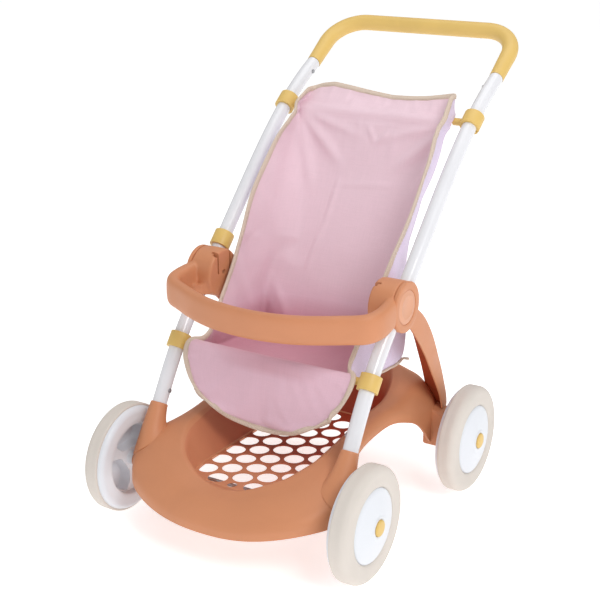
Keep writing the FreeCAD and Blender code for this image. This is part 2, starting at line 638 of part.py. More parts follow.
# ---------------------------------------------------------------- front legs
foot_p, foot_t = tube_point(V["tube_x"], 135.2)
filled = ring_solid([solid_section(p, 0.45, 30.0) for p in ring])
for side, sx in (("left", 1), ("right", -1)):
    p, t = tube_point(sx * V["tube_x"], 135.2)
    cone = doc.addObject("Part::Cone", side + "_leg_cone")
    bind(cone, "Radius1", Dim(leg_foot_radius=1.0))
    bind(cone, "Radius2", Dim(leg_top_radius=1.0))
    cone.Radius1, cone.Radius2, cone.Height = V["leg_foot_radius"], V["leg_top_radius"], 50.0
    base = p - t * 50.0
    cone.Placement = Placement(base, Rotation(Vector(0, 0, 1), t))
    deck = solid_feature(side + "_leg_seat", filled.copy())
    # room for the tube's foot, which is very nearly straight over this length
    c = tube_curve(sx * V["tube_x"])
    first = c.value(c.FirstParameter)
    way = tube_point(sx * V["tube_x"], 138.0)[0] - first
    way.normalize()
    room = cylinder(side + "_leg_room", Dim(0.3, tube_radius=1.0), Dim(34.0), tuple(first - way * 1.0), tuple(way))
    wheel_room = box(side + "_wheel_side", (149.0, 190.0) if sx > 0 else (-190.0, -149.0),
                     (-260.0, -120.0), (40.0, 160.0))
    axle_room = cylinder(side + "_leg_axle_room", Dim(1.0, axle_radius=1.0), Dim(60.0),
                         (sx * 110.0, V["front_axle_y"], V["wheel_radius"]), (sx, 0, 0))
    rib_room = box(side + "_leg_rib_room", (115.5, 134.4) if sx > 0 else (-134.4, -115.5),
                   (V["front_axle_y"] - 8.4, V["front_axle_y"] + 8.4), (V["wheel_radius"], 94.4))
    boss_room = cylinder(side + "_leg_boss_room", Dim(0.35, boss_radius=1.0), Dim(40.0),
                         (sx * 112.0, V["front_axle_y"], V["wheel_radius"]), (sx, 0, 0))
    hollow = cut(side + "_leg_hollow", cone, room)
    seated = cut(side + "_leg_seated", hollow, deck)
    keep("front_%s_leg" % side, cut(side + "_leg", seated, wheel_room, axle_room, rib_room, boss_room))

group = doc.addObject("Part::Compound", "foot_screw_group")
group.Links = [screw("foot_screw_" + t, s, inner_face, FOOT_SCREW.y, FOOT_SCREW.z, 5.0)
               for t, s in (("l", 1), ("r", -1))]
keep("tube_foot_screws", group)

# ---------------------------------------------------------------- hubs and bumper bar
# Outer face of the bar in plan, (x, y) from the front axle, and the height of its middle.
BAR_PLAN = [(0, 10), (40, 13.5), (60, 18), (80, 25), (100, 34), (120, 44), (132, 50.5),
            (140, 58.5), (145, 71), (146, 86), (144, 104), (140, 122)]
hub_dir = tube_point(V["tube_x"], V["hub_z"])[1]


def bar_mid_z(y):
    return 262.5 + (y - 10.0) * 0.105


def bar_section(x, y, nx, ny):
    """Rounded D: (nx, ny) points outward in plan."""
    zc = bar_mid_z(y)
    h2, dep = V["bar_height"] / 2.0, V["bar_depth"]
    prof = [(0.0, -h2 * 0.55), (0.0, h2 * 0.55), (-1.2, h2 * 0.8), (-4.6, h2 * 0.97), (-9.0, h2),
            (-dep + 3.6, h2 * 0.95), (-dep + 0.8, h2 * 0.78), (-dep, h2 * 0.5), (-dep, -h2 * 0.5),
            (-dep + 0.8, -h2 * 0.78), (-dep + 3.6, -h2 * 0.95), (-9.0, -h2), (-4.6, -h2 * 0.97),
            (-1.2, -h2 * 0.8)]
    return [Vector(x + d * nx, y + d * ny + FRONT_Y, zc + z) for d, z in prof]


plan = [(-x, y) for x, y in BAR_PLAN[:0:-1]] + list(BAR_PLAN)
sections = []
for i, (x, y) in enumerate(plan):
    a, b = plan[max(i - 1, 0)], plan[min(i + 1, len(plan) - 1)]
    tx, ty = b[0] - a[0], b[1] - a[1]
    n = math.hypot(tx, ty)
    sections.append(bar_section(x, y, ty / n, -tx / n))
faces = []
for a, b in zip(sections[:-1], sections[1:]):
    k = len(a)
    for j in range(k):
        p, q, r, s = a[j], a[(j + 1) % k], b[(j + 1) % k], b[j]
        for tri in ((p, q, r), (p, r, s)):
            faces.append(Part.Face(Part.makePolygon([tri[0], tri[1], tri[2], tri[0]])))
for a in (sections[0], sections[-1]):
    mid = Vector(0, 0, 0)
    for p in a:
        mid = mid + p
    mid = mid * (1.0 / len(a))
    for j in range(len(a)):
        faces.append(Part.Face(Part.makePolygon([a[j], a[(j + 1) % len(a)], mid, a[j]])))
shell = Part.Shell(faces)
shell.sewShape()
bar_solid = Part.Solid(shell)
if bar_solid.Volume < 0:
    bar_solid.reverse()
bar = solid_feature("bar_bow", bar_solid)

drums, drum_cuts = [], []
for side, sx in (("left", 1), ("right", -1)):
    tag = "l" if sx > 0 else "r"
    drum_out = V["hub_disc_out"] - V["hub_disc_thick"] - 0.3
    drums.append(cylinder("drum_" + tag, Dim(hub_disc_radius=1.0),
                          Dim(-0.3, hub_disc_out=1.0, hub_disc_thick=-1.0, hub_in=-1.0),
                          (sx * V["hub_in"], V["hub_y"], V["hub_z"]), (sx, 0, 0)))
    p, t = tube_point(sx * V["tube_x"], V["hub_z"])
    drum_cuts.append(cylinder("drum_bore_" + tag, Dim(0.45, tube_radius=1.0), Dim(90.0),
                              tuple(p - t * 45.0), tuple(t)))
    # two upright slots leave a springy tongue on the inner face, over the tube
    for k, dy in enumerate((-12.0, 13.0)):
        slot_x = (V["hub_in"] - 2.0, V["hub_in"] + 7.5) if sx > 0 else (-V["hub_in"] - 7.5, -V["hub_in"] + 2.0)
        drum_cuts.append(box("drum_slot_%s%d" % (tag, k), slot_x, (V["hub_y"] + dy - 1.3, V["hub_y"] + dy + 1.3),
                             (V["hub_z"] + 1.2, V["hub_z"] + 40.0)))
    # flat cut behind the disc so that the arm's plate clears the bar's tail
    drum_cuts.append(box("bar_trim_" + tag, (drum_out, 170.0) if sx > 0 else (-170.0, -drum_out),
                         (V["hub_y"] - 30.7, V["hub_y"] + 60.0), (230.0, 320.0)))
    drum_cuts.append(cylinder("hub_screw_bore_" + tag, Dim(0.25, screw_radius=1.0), Dim(20.0),
                              (sx * (V["hub_in"] - 2.0), V["hub_y"] - 0.3, V["hub_z"] + 1.7), (sx, 0, 0)))
    drum_cuts.append(cylinder("hub_screw_well_" + tag, Dim(0.5, screw_head_radius=1.0), Dim(6.2),
                              (sx * (V["hub_in"] - 2.0), V["hub_y"] - 0.3, V["hub_z"] + 1.7), (sx, 0, 0)))
blank = fuse("bumper_blank", bar, *drums)
keep("bumper_bar", cut("bumper_cut", blank, *drum_cuts))

group = doc.addObject("Part::Compound", "hub_screw_group")
group.Links = [screw("hub_screw_" + t, sx, V["hub_in"] + 4.2, V["hub_y"] - 0.3, V["hub_z"] + 1.7, 9.0)
               for t, sx in (("l", 1), ("r", -1))]
keep("hub_screws", group)

# ---------------------------------------------------------------- rear arms with hub discs
ARM_REAR = [(165.0, 262.0), (183.5, 248.0), (199.0, 232.0), (217.5, 208.0), (233.5, 182.0),
            (248.5, 157.0), (261.0, 133.0), (269.5, 114.0), (271.5, 104.4)]
ARM_FRONT = [(253.5, 104.4), (254.0, 107.0), (241.0, 132.0), (228.0, 150.0), (213.6, 167.0),
             (198.0, 188.0), (181.4, 207.0), (163.5, 226.0), (146.0, 243.0)]


def side_plate(points, x0, x1):
    wire = Part.makePolygon([Vector(x0, y + FRONT_Y, z) for y, z in points + points[:1]])
    return Part.Face(wire).extrude(Vector(x1 - x0, 0, 0))


def inset(points, d):
    out = []
    for i, (y, z) in enumerate(points):
        a, b = points[max(i - 1, 0)], points[min(i + 1, len(points) - 1)]
        ty, tz = b[0] - a[0], b[1] - a[1]
        n = math.hypot(ty, tz)
        out.append((y + d * tz / n, z - d * ty / n))
    return out


for side, sx in (("left", 1), ("right", -1)):
    tag = "l" if sx > 0 else "r"
    xo = V["hub_disc_out"] - 0.4
    xi = xo - V["arm_depth"]
    t = 2.6
    rear_in = inset(ARM_REAR, 2.8)
    rear_in = [(y, max(z, 104.4)) for y, z in rear_in]
    plate = side_plate([(150.0, 262.0)] + ARM_REAR + ARM_FRONT + [(132.0, 250.0)], xo - t, xo)
    wall = side_plate(ARM_REAR + rear_in[::-1], xi, xo)
    arm = plate.fuse(wall)
    lean = Placement(Vector(0, 0, 0), Rotation())
    lean = Placement(Vector(0, 0, 0), Rotation(Vector(0, 1, 0), 2.6), Vector(xo, 0, V["hub_z"]))
    arm = arm.transformGeometry(lean.toMatrix())
    if sx < 0:
        arm = arm.mirror(Vector(0, 0, 0), Vector(1, 0, 0))
    blank = solid_feature("arm_blade_" + tag, arm)
    disc = cylinder("hub_disc_" + tag, Dim(hub_disc_radius=1.0), Dim(hub_disc_thick=1.0),
                    (sx * (V["hub_disc_out"] - V["hub_disc_thick"]), V["hub_y"], V["hub_z"]), (sx, 0, 0))
    joined = fuse("arm_joined_" + tag, blank, disc)
    recess = cylinder("badge_recess_" + tag, Dim(0.3, badge_radius=1.0), Dim(6.0),
                      (sx * (V["hub_disc_out"] - V["badge_depth"]), V["hub_y"], V["hub_z"]), (sx, 0, 0))
    lug_top = box("arm_foot_trim_" + tag, (90.0, 170.0) if sx > 0 else (-170.0, -90.0),
                  (V["rear_axle_y"] - 60, V["rear_axle_y"] + 60), (60.0, 104.35))
    drum_side = cylinder("arm_drum_room_" + tag, Dim(0.35, hub_disc_radius=1.0), Dim(40.0),
                         (sx * (V["hub_disc_out"] - V["hub_disc_thick"] - 40.0), V["hub_y"], V["hub_z"]),
                         (sx, 0, 0))
    p, tt = tube_point(sx * V["tube_x"], V["hub_z"])
    tube_room = cylinder("arm_tube_room_" + tag, Dim(0.45, tube_radius=1.0), Dim(90.0),
                         tuple(p - tt * 45.0), tuple(tt))
    deck = solid_feature("arm_deck_" + tag, filled.copy())
    keep("rear_%s_arm" % side, cut("arm_cut_" + tag, joined, recess, lug_top, drum_side, deck, tube_room))

    badge = doc.addObject("PartDesign::Body", "badge_body_" + tag)
    bsk = circle_sketch(badge, "badge_outline_" + tag, "YZ_Plane", 0.0, 0.0, Dim(badge_radius=1.0))
    bpad = badge.newObject("PartDesign::Pad", "badge_pad_" + tag)
    bpad.Profile = bsk
    bind(bpad, "Length", Dim(-0.3, badge_depth=1.0))
    badge.Placement = Placement(Vector(sx * (V["hub_disc_out"] - V["badge_depth"] + 0.05),
                                       V["hub_y"], V["hub_z"]),
                                Rotation(Vector(0, 0, 1), 0 if sx > 0 else 180))
    keep("%s_hub_badge" % side, badge)

# ---------------------------------------------------------------- clips, ring and rods
UP_Z, LOW_Z = 454.2, 200.6
RODS = {"back": (316.3, 452.0), "front": (67.9, 200.6)}


def clip(tag, sx, z, peg, slit_deg, length):
    p, t = tube_point(sx * V["tube_x"], z)
    bodyc = cylinder("clip_" + tag, Dim(clip_radius=1.0), Dim(length), tuple(p - t * (length / 2)), tuple(t))
    shapes = [bodyc]
    cuts = [cylinder("clip_bore_" + tag, Dim(clip_bore_radius=1.0), Dim(length + 4),
                     tuple(p - t * (length / 2 + 2)), tuple(t))]
    if peg:
        y, zz = peg
        shapes.append(cylinder("clip_peg_" + tag, Dim(peg_radius=1.0), Dim(14.0),
                               (sx * (V["tube_x"] - 10.0), y + FRONT_Y, zz), (-sx, 0, 0)))
        cuts.append(cylinder("clip_socket_" + tag, Dim(0.12, rod_radius=1.0), Dim(12.0),
                             (sx * (V["tube_x"] - 14.6), y + FRONT_Y, zz), (-sx, 0, 0)))
    # the open side of the clip
    slit = box("clip_slit_" + tag, (0.0, 1.0), (0.0, 1.0), (0.0, 1.0))
    slit.Length, slit.Width, slit.Height = 16.0, 3.4, length + 6.0
    side_axis = Vector(sx * math.cos(math.radians(slit_deg)), 0, 0)
    normal = t.cross(Vector(1, 0, 0))
    normal.normalize()
    out = Vector(1, 0, 0) * (sx * math.cos(math.radians(slit_deg))) + normal * math.sin(math.radians(slit_deg))
    third = t.cross(out)
    m = FreeCAD.Matrix(out.x, third.x, t.x, 0, out.y, third.y, t.y, 0, out.z, third.z, t.z, 0, 0, 0, 0, 1)
    rot = Placement(m).Rotation
    slit.Placement = Placement(p + rot.multVec(Vector(0, -1.7, -length / 2 - 3.0)), rot)
    cuts.append(slit)
    return cut("clip_cut_" + tag, fuse("clip_sum_" + tag, *shapes) if len(shapes) > 1 else shapes[0], *cuts)


for side, sx in (("left", 1), ("right", -1)):
    keep("upper_%s_clip" % side, clip("upper_" + side, sx, UP_Z, RODS["back"], 40.0, 19.0))
    keep("lower_%s_clip" % side, clip("lower_" + side, sx, LOW_Z, RODS["front"], 60.0, 19.0))
keep("middle_right_clip", clip("middle_right", -1, 304.5, None, 150.0, 20.0))

for name, (y, z) in RODS.items():
    keep(name + "_rod", cylinder(name + "_rod_bar", Dim(rod_radius=1.0), Dim(rod_half_length=2.0),
                                 (-V["rod_half_length"], y + FRONT_Y, z), (1, 0, 0)))

# ---------------------------------------------------------------- seat cloth
# One sewn bucket: back, pan and flap follow this side view; two side gores close it.
CLOTH = [(341.0, 479.0), (334.0, 468.0), (323.5, 452.0), (300.0, 408.0), (276.0, 363.0),
         (254.0, 322.0), (237.0, 290.0), (226.0, 262.0), (219.0, 235.0), (214.0, 212.0),
         (208.0, 195.0), (198.0, 184.5), (184.0, 180.5), (160.0, 181.0), (130.0, 184.0),
         (104.0, 188.5), (86.0, 194.0), (76.0, 201.5), (70.5, 206.5), (64.5, 206.0),
         (61.0, 200.0), (56.5, 186.0), (51.0, 168.0), (47.0, 150.0), (46.5, 136.0), (50.0, 118.5)]
EDGE = [(320.0, 482.0), (296.0, 460.0), (274.0, 440.0), (253.5, 420.0), (235.0, 400.0),
        (217.0, 380.0), (200.5, 360.0), (185.5, 340.0), (170.0, 320.0), (155.0, 300.0),
        (139.5, 280.0), (123.0, 260.0), (106.5, 240.0), (90.0, 220.0), (79.5, 208.0)]
FLAP = [(0.0, 116.0), (20.0, 119.5), (46.0, 127.0), (61.0, 135.0), (76.0, 144.0), (87.0, 152.0),
        (95.0, 160.0), (100.5, 168.0), (103.5, 176.0), (104.0, 184.0)]
ct, cw = V["cloth_thickness"], V["cloth_half_width"]


def strip(points, t):
    return points + inset(points, t)[::-1]


def gore(x0, x1):
    back = CLOTH[:17]
    return side_plate([(y, z) for y, z in back] + EDGE[::-1], x0, x1)


sling = side_plate(strip(CLOTH, ct), -cw, cw)
outline3 = [Vector(x, -400, z) for x, z in FLAP] + [Vector(cw + 1, -400, 190), Vector(cw + 1, -400, 520)]
outline3 += [Vector(-p.x, p.y, p.z) for p in outline3[::-1]]
flat = []
for p in outline3:
    if not flat or (p - flat[-1]).Length > 1e-6:
        flat.append(p)
if (flat[0] - flat[-1]).Length < 1e-6:
    flat.pop()
trim = Part.Face(Part.makePolygon(flat + [flat[0]])).extrude(Vector(0, 700, 0))
sling = sling.common(trim)
cloth_parts = [solid_feature("cloth_sling", sling),
               solid_feature("cloth_gore_l", gore(cw - ct, cw)),
               solid_feature("cloth_gore_r", gore(-cw, -cw + ct))]
cloth_cuts = []
for name, (y, z) in RODS.items():
    cloth_parts.append(cylinder("cloth_sleeve_" + name, Dim(2.2, rod_radius=1.0), Dim(-6.0, cloth_half_width=2.0),
                                (-cw + 3.0, y + FRONT_Y, z), (1, 0, 0)))
    cloth_cuts.append(cylinder("cloth_rod_room_" + name, Dim(0.4, rod_radius=1.0), Dim(260.0),
                               (-130.0, y + FRONT_Y, z), (1, 0, 0)))
keep("seat_fabric", cut("cloth_cut", fuse("cloth_sum", *cloth_parts), *cloth_cuts))

# ---------------------------------------------------------------- checks and export
doc.recompute()
for obj in doc.Objects:
    state = getattr(obj, "State", [])
    if "Invalid" in state or "Error" in state:
        raise RuntimeError("%s failed: %s" % (obj.Name, state))
os.makedirs("parts", exist_ok=True)
names = set()
for node, obj in PARTS:
    shape = obj.Shape
    if shape.isNull() or not shape.isValid():
        raise RuntimeError("%s has no valid shape" % node)
    if not shape.Solids:
        raise RuntimeError("%s holds no solid" % node)
    if node in names:
        raise RuntimeError("%s is named twice" % node)
    names.add(node)
for node, obj in PARTS:
    obj.Shape.exportStep(os.path.join("parts", node + ".step"))
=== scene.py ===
import bpy
import bmesh
import math
import numpy as np
from mathutils import Matrix, Vector


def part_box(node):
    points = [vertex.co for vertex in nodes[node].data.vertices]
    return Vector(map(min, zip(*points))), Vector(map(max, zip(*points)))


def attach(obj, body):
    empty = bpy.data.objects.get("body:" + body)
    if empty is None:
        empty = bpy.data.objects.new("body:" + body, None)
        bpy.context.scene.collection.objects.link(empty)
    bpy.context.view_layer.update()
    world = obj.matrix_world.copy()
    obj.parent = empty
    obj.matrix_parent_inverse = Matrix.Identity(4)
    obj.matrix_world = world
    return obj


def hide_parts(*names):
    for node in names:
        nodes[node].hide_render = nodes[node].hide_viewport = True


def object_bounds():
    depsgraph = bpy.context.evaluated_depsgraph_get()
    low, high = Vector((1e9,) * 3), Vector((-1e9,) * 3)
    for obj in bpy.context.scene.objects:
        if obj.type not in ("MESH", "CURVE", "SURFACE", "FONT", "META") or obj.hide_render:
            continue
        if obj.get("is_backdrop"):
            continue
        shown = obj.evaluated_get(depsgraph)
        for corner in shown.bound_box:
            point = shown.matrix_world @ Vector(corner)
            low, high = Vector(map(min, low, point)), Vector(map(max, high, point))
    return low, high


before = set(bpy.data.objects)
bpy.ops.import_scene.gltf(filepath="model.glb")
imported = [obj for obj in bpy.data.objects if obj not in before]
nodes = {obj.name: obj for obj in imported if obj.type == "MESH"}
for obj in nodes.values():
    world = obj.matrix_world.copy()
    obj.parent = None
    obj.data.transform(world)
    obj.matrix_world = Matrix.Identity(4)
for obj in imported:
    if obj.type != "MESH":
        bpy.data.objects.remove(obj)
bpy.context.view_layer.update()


def mid(node):
    a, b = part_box(node)
    return (a + b) / 2


# ------------------------------------------------------------------ places from the CAD frame
AXLE_F, AXLE_R = mid("front_axle"), mid("rear_axle_stubs")
FY = AXLE_F.y * 1000.0                      # millimetres; every layout below is from the front axle
WHEEL_R = AXLE_F.z * 1000.0
WHEEL_X = (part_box("front_left_wheel_tyre")[1].x - 0.0135) * 1000.0
HUB = mid("left_hub_badge")
HUB_Y, HUB_Z = HUB.y * 1000.0 - FY, HUB.z * 1000.0
DISC_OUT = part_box("rear_left_arm")[1].x * 1000.0
HUB_R = 29.9
BACK_ROD, FRONT_ROD = mid("back_rod"), mid("front_rod")
FLOOR_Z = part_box("basket_floor")[1].z * 1000.0


def W(p):
    """Layout millimetres to frame metres."""
    p = np.asarray(p, float)
    q = p.copy()
    q[..., 1] = q[..., 1] + FY
    return q / 1000.0


# ------------------------------------------------------------------ mesh helpers
def make_object(name, verts, faces, materials, face_mats=None, smooth=True, uv=None):
    me = bpy.data.meshes.new(name)
    me.from_pydata([tuple(map(float, v)) for v in verts], [], [tuple(int(i) for i in f) for f in faces])
    for m in materials:
        me.materials.append(m)
    if face_mats is not None:
        me.polygons.foreach_set("material_index", list(face_mats))
    if uv is not None:
        layer = me.uv_layers.new(name="UVMap")
        loops = np.zeros(len(me.loops), np.int32)
        me.loops.foreach_get("vertex_index", loops)
        layer.data.foreach_set("uv", np.asarray(uv, np.float32)[loops].ravel())
    me.polygons.foreach_set("use_smooth", [smooth] * len(me.polygons))
    me.update()
    ob = bpy.data.objects.new(name, me)
    bpy.context.scene.collection.objects.link(ob)
    return ob


def grid_faces(nu, nv, closed_u, closed_v, base=0):
    out = []
    for i in range(nu if closed_u else nu - 1):
        a, b = i * nv, ((i + 1) % nu) * nv
        for j in range(nv if closed_v else nv - 1):
            k = (j + 1) % nv
            out.append((base + a + j, base + b + j, base + b + k, base + a + k))
    return out


class Build:
    """Collects vertices and faces of several closed pieces into one mesh."""
    def __init__(self):
        self.v, self.f, self.m = [], [], []

    def grid(self, P, closed_u=False, closed_v=True, caps=True, mat=0, flip=False):
        P = np.asarray(P, float)
        nu, nv = P.shape[:2]
        base = len(self.v)
        self.v.extend(P.reshape(-1, 3))
        fs = grid_faces(nu, nv, closed_u, closed_v, base)
        if caps and not closed_u and closed_v:
            for row, rev in ((0, False), (nu - 1, True)):
                ring = [base + row * nv + j for j in range(nv)]
                c = len(self.v)
                self.v.append(P[row].mean(0))
                for j in range(nv):
                    a, b = ring[j], ring[(j + 1) % nv]
                    fs.append((c, b, a) if rev else (c, a, b))
        if flip:
            fs = [tuple(reversed(f)) for f in fs]
        self.f.extend(fs)
        self.m.extend([mat] * len(fs))
        return self

    def lathe(self, profile, centre, axis, n=96, mat=0, spin=0.0):
        """profile: (along, radius) closed loop, or open from axis to axis."""
        prof = np.asarray(profile, float)
        axis = np.asarray(axis, float) / np.linalg.norm(axis)
        ref = np.array([0.0, 0.0, 1.0]) if abs(axis[2]) < 0.9 else np.array([0.0, 1.0, 0.0])
        e1 = np.cross(axis, ref); e1 /= np.linalg.norm(e1)
        e2 = np.cross(axis, e1)
        th = spin + np.arange(n) * 2 * math.pi / n
        circ = np.cos(th)[:, None] * e1 + np.sin(th)[:, None] * e2
        P = centre + prof[None, :, 0, None] * axis + prof[None, :, 1, None] * circ[:, None, :]
        return self.grid(P, closed_u=True, closed_v=True, caps=False, mat=mat)

    def obj(self, name, materials, smooth=True):
        ob = make_object(name, W(np.array(self.v)), self.f, materials, self.m, smooth)
        tidy(ob)
        return ob


def tidy(ob, merge=1e-6):
    bm = bmesh.new()
    bm.from_mesh(ob.data)
    bmesh.ops.remove_doubles(bm, verts=bm.verts, dist=merge)
    bmesh.ops.dissolve_degenerate(bm, dist=1e-7, edges=bm.edges)
    bmesh.ops.recalc_face_normals(bm, faces=bm.faces)
    bm.to_mesh(ob.data)
    bm.free()
    ob.data.update()


def apply_mods(ob):
    bpy.context.view_layer.update()
    dg = bpy.context.evaluated_depsgraph_get()
    me = bpy.data.meshes.new_from_object(ob.evaluated_get(dg), preserve_all_data_layers=True, depsgraph=dg)
    old = ob.data
    ob.modifiers.clear()
    ob.data = me
    if old.users == 0:
        bpy.data.meshes.remove(old)
    return ob


def auto_smooth(ob, deg=38):
    me = ob.data
    me.polygons.foreach_set("use_smooth", [True] * len(me.polygons))
    bm = bmesh.new()
    bm.from_mesh(me)
    lim = math.radians(deg)
    for e in bm.edges:
        if len(e.link_faces) == 2:
            e.smooth = e.calc_face_angle(0.0) < lim
    bm.to_mesh(me)
    bm.free()


def rounded(pts, dist, n=6, closed=False):
    """Polyline (..., k, 3) with each corner cut back by dist and replaced by a soft arc."""
    P = np.asarray(pts, float)
    k = P.shape[-2]
    out = []
    for i in range(k):
        d = dist[i]
        if d <= 0 or (not closed and i in (0, k - 1)):
            out.append(P[..., i, :])
            continue
        p, a, b = P[..., i, :], P[..., (i - 1) % k, :], P[..., (i + 1) % k, :]
        la = np.linalg.norm(a - p, axis=-1, keepdims=True)
        lb = np.linalg.norm(b - p, axis=-1, keepdims=True)
        da, db = np.minimum(d, 0.46 * la), np.minimum(d, 0.46 * lb)
        s, e = p + (a - p) * da / np.maximum(la, 1e-9), p + (b - p) * db / np.maximum(lb, 1e-9)
        for q in range(n + 1):
            t = q / n
            out.append((1 - t) ** 2 * s + 2 * t * (1 - t) * p + t * t * e)
    return np.stack(out, axis=-2)


def cubic(points, n, closed=False, params=None, at=None):
    """Interpolating cubic spline through points (k, ...), sampled at n places (or at `at`)."""
    P = np.asarray(points, float)
    k = P.shape[0]
    flat = P.reshape(k, -1)
    if params is None:
        seg = np.linalg.norm(np.diff(flat, axis=0), axis=1)
        params = np.concatenate([[0], np.cumsum(seg)])
        last = np.linalg.norm(flat[0] - flat[-1])
    else:
        params = np.asarray(params, float)
        last = 0
    if closed:
        h = np.append(np.diff(params), last)
        A = np.zeros((k, k)); R = np.zeros_like(flat)
        for i in range(k):
            hm, hp = h[i - 1], h[i]
            A[i, (i - 1) % k] += hm
            A[i, i] += 2 * (hm + hp)
            A[i, (i + 1) % k] += hp
            R[i] = 6 * ((flat[(i + 1) % k] - flat[i]) / hp - (flat[i] - flat[i - 1]) / hm)
        M = np.linalg.solve(A, R)
        total = params[-1] + last
        T = np.arange(n) * total / n if at is None else np.asarray(at) % total
        knots = np.append(params, total)
        Y = np.vstack([flat, flat[:1]]); MM = np.vstack([M, M[:1]])
    else:
        h = np.diff(params)
        A = np.zeros((k, k)); R = np.zeros_like(flat)
        A[0, 0] = A[-1, -1] = 1
        for i in range(1, k - 1):
            A[i, i - 1], A[i, i], A[i, i + 1] = h[i - 1], 2 * (h[i - 1] + h[i]), h[i]
            R[i] = 6 * ((flat[i + 1] - flat[i]) / h[i] - (flat[i] - flat[i - 1]) / h[i - 1])
        M = np.linalg.solve(A, R)
        T = np.linspace(0, params[-1], n) if at is None else np.asarray(at, float)
        knots, Y, MM = params, flat, M
    idx = np.clip(np.searchsorted(knots, T, side="right") - 1, 0, len(knots) - 2)
    x0, x1 = knots[idx], knots[idx + 1]
    hh = (x1 - x0)[:, None]
    a, b = (x1 - T)[:, None] / hh, (T - x0)[:, None] / hh
    out = a * Y[idx] + b * Y[idx + 1] + ((a ** 3 - a) * MM[idx] + (b ** 3 - b) * MM[idx + 1]) * hh ** 2 / 6
    return out.reshape((len(T),) + P.shape[1:])


def resample(P, n, closed=False):
    P = np.asarray(P, float)
    Q = np.vstack([P, P[:1]]) if closed else P
    s = np.concatenate([[0], np.cumsum(np.linalg.norm(np.diff(Q, axis=0), axis=1))])
    T = np.linspace(0, s[-1], n + 1)[:-1] if closed else np.linspace(0, s[-1], n)
    return np.stack([np.interp(T, s, Q[:, i]) for i in range(Q.shape[1])], axis=1)


def tube_rings(path, section, closed=False, up=None):
    """Rings of a section (list of (a, b)) swept on a path with a twist-free or given up direction."""
    P = np.asarray(path, float)
    n = len(P)
    if closed:
        T = np.roll(P, -1, 0) - np.roll(P, 1, 0)
    else:
        T = np.gradient(P, axis=0)
    T /= np.linalg.norm(T, axis=1, keepdims=True)
    if up is None:
        u = np.cross(T[0], [0.3, 0.1, 1.0]); u /= np.linalg.norm(u)
        U = [u]
        for i in range(1, n):
            u = U[-1] - T[i] * np.dot(U[-1], T[i])
            U.append(u / np.linalg.norm(u))
        U = np.array(U)
    else:
        U = np.asarray(up, float) * np.ones((n, 1)) if np.ndim(up) == 1 else np.asarray(up, float)
        U = U - T * (U * T).sum(1, keepdims=True)
        U /= np.linalg.norm(U, axis=1, keepdims=True)
    V = np.cross(T, U)
    S = np.asarray(section, float)
    return P[:, None] + S[None, :, 0, None] * U[:, None] + S[None, :, 1, None] * V[:, None]


def ellipse(a, b, n=16, power=2.0):
    t = np.arange(n) * 2 * math.pi / n
    c, s = np.cos(t), np.sin(t)
    return np.stack([a * np.sign(c) * np.abs(c) ** (2 / power), b * np.sign(s) * np.abs(s) ** (2 / power)], 1)


# ------------------------------------------------------------------ materials
def lin(r, g, b):
    def f(c):
        c /= 255.0
        return c / 12.92 if c <= 0.04045 else ((c + 0.055) / 1.055) ** 2.4
    return (f(r), f(g), f(b), 1.0)


class Mat:
    def __init__(self, name):
        self.m = bpy.data.materials.new(name)
        self.m.use_nodes = True
        self.t = self.m.node_tree
        self.n, self.l = self.t.nodes, self.t.links
        self.bsdf = self.n["Principled BSDF"]
        self.coord = self.n.new("ShaderNodeTexCoord")

    def set(self, **kw):
        for k, v in kw.items():
            self.bsdf.inputs[k.replace("_", " ")].default_value = v
        return self

    def node(self, kind, **inputs):
        nd = self.n.new(kind)
        for k, v in inputs.items():
            key = k.replace("_", " ")
            if isinstance(v, bpy.types.NodeSocket):
                self.l.new(v, nd.inputs[key])
            else:
                nd.inputs[key].default_value = v
        return nd

    def noise(self, scale, detail=4.0, rough=0.5, vec=None, dist=0.0):
        nd = self.node("ShaderNodeTexNoise", Scale=scale, Detail=detail, Roughness=rough, Distortion=dist)
        self.l.new(vec or self.coord.outputs["Object"], nd.inputs["Vector"])
        return nd.outputs["Fac"]

    def math(self, op, a, b=0.0, c=None, clamp=False):
        nd = self.n.new("ShaderNodeMath")
        nd.operation = op
        nd.use_clamp = clamp
        for i, v in enumerate((a, b) if c is None else (a, b, c)):
            if isinstance(v, bpy.types.NodeSocket):
                self.l.new(v, nd.inputs[i])
            else:
                nd.inputs[i].default_value = v
        return nd.outputs[0]

    def remap(self, v, a0, a1, b0, b1):
        nd = self.n.new("ShaderNodeMapRange")
        self.l.new(v, nd.inputs["Value"])
        for k, x in zip(("From Min", "From Max", "To Min", "To Max"), (a0, a1, b0, b1)):
            nd.inputs[k].default_value = x
        return nd.outputs["Result"]

    def mix(self, fac, a, b, kind="MIX"):
        nd = self.n.new("ShaderNodeMix")
        nd.data_type = "RGBA"
        nd.blend_type = kind
        for sock, v in ((nd.inputs["Factor"], fac), (nd.inputs["A"], a), (nd.inputs["B"], b)):
            pass
        ins = [s for s in nd.inputs if s.enabled or s.type == "RGBA"]
        fs = [s for s in nd.inputs if s.identifier == "Factor_Float"][0]
        sa = [s for s in nd.inputs if s.identifier == "A_Color"][0]
        sb = [s for s in nd.inputs if s.identifier == "B_Color"][0]
        for s, v in ((fs, fac), (sa, a), (sb, b)):
            if isinstance(v, bpy.types.NodeSocket):
                self.l.new(v, s)
            else:
                s.default_value = v
        return [s for s in nd.outputs if s.identifier == "Result_Color"][0]

    def bump(self, height, strength, distance, normal=None):
        nd = self.n.new("ShaderNodeBump")
        nd.inputs["Strength"].default_value = strength
        nd.inputs["Distance"].default_value = distance
        self.l.new(height, nd.inputs["Height"])
        if normal is not None:
            self.l.new(normal, nd.inputs["Normal"])
        return nd.outputs["Normal"]

    def to(self, name, sock):
        self.l.new(sock, self.bsdf.inputs[name])
        return self


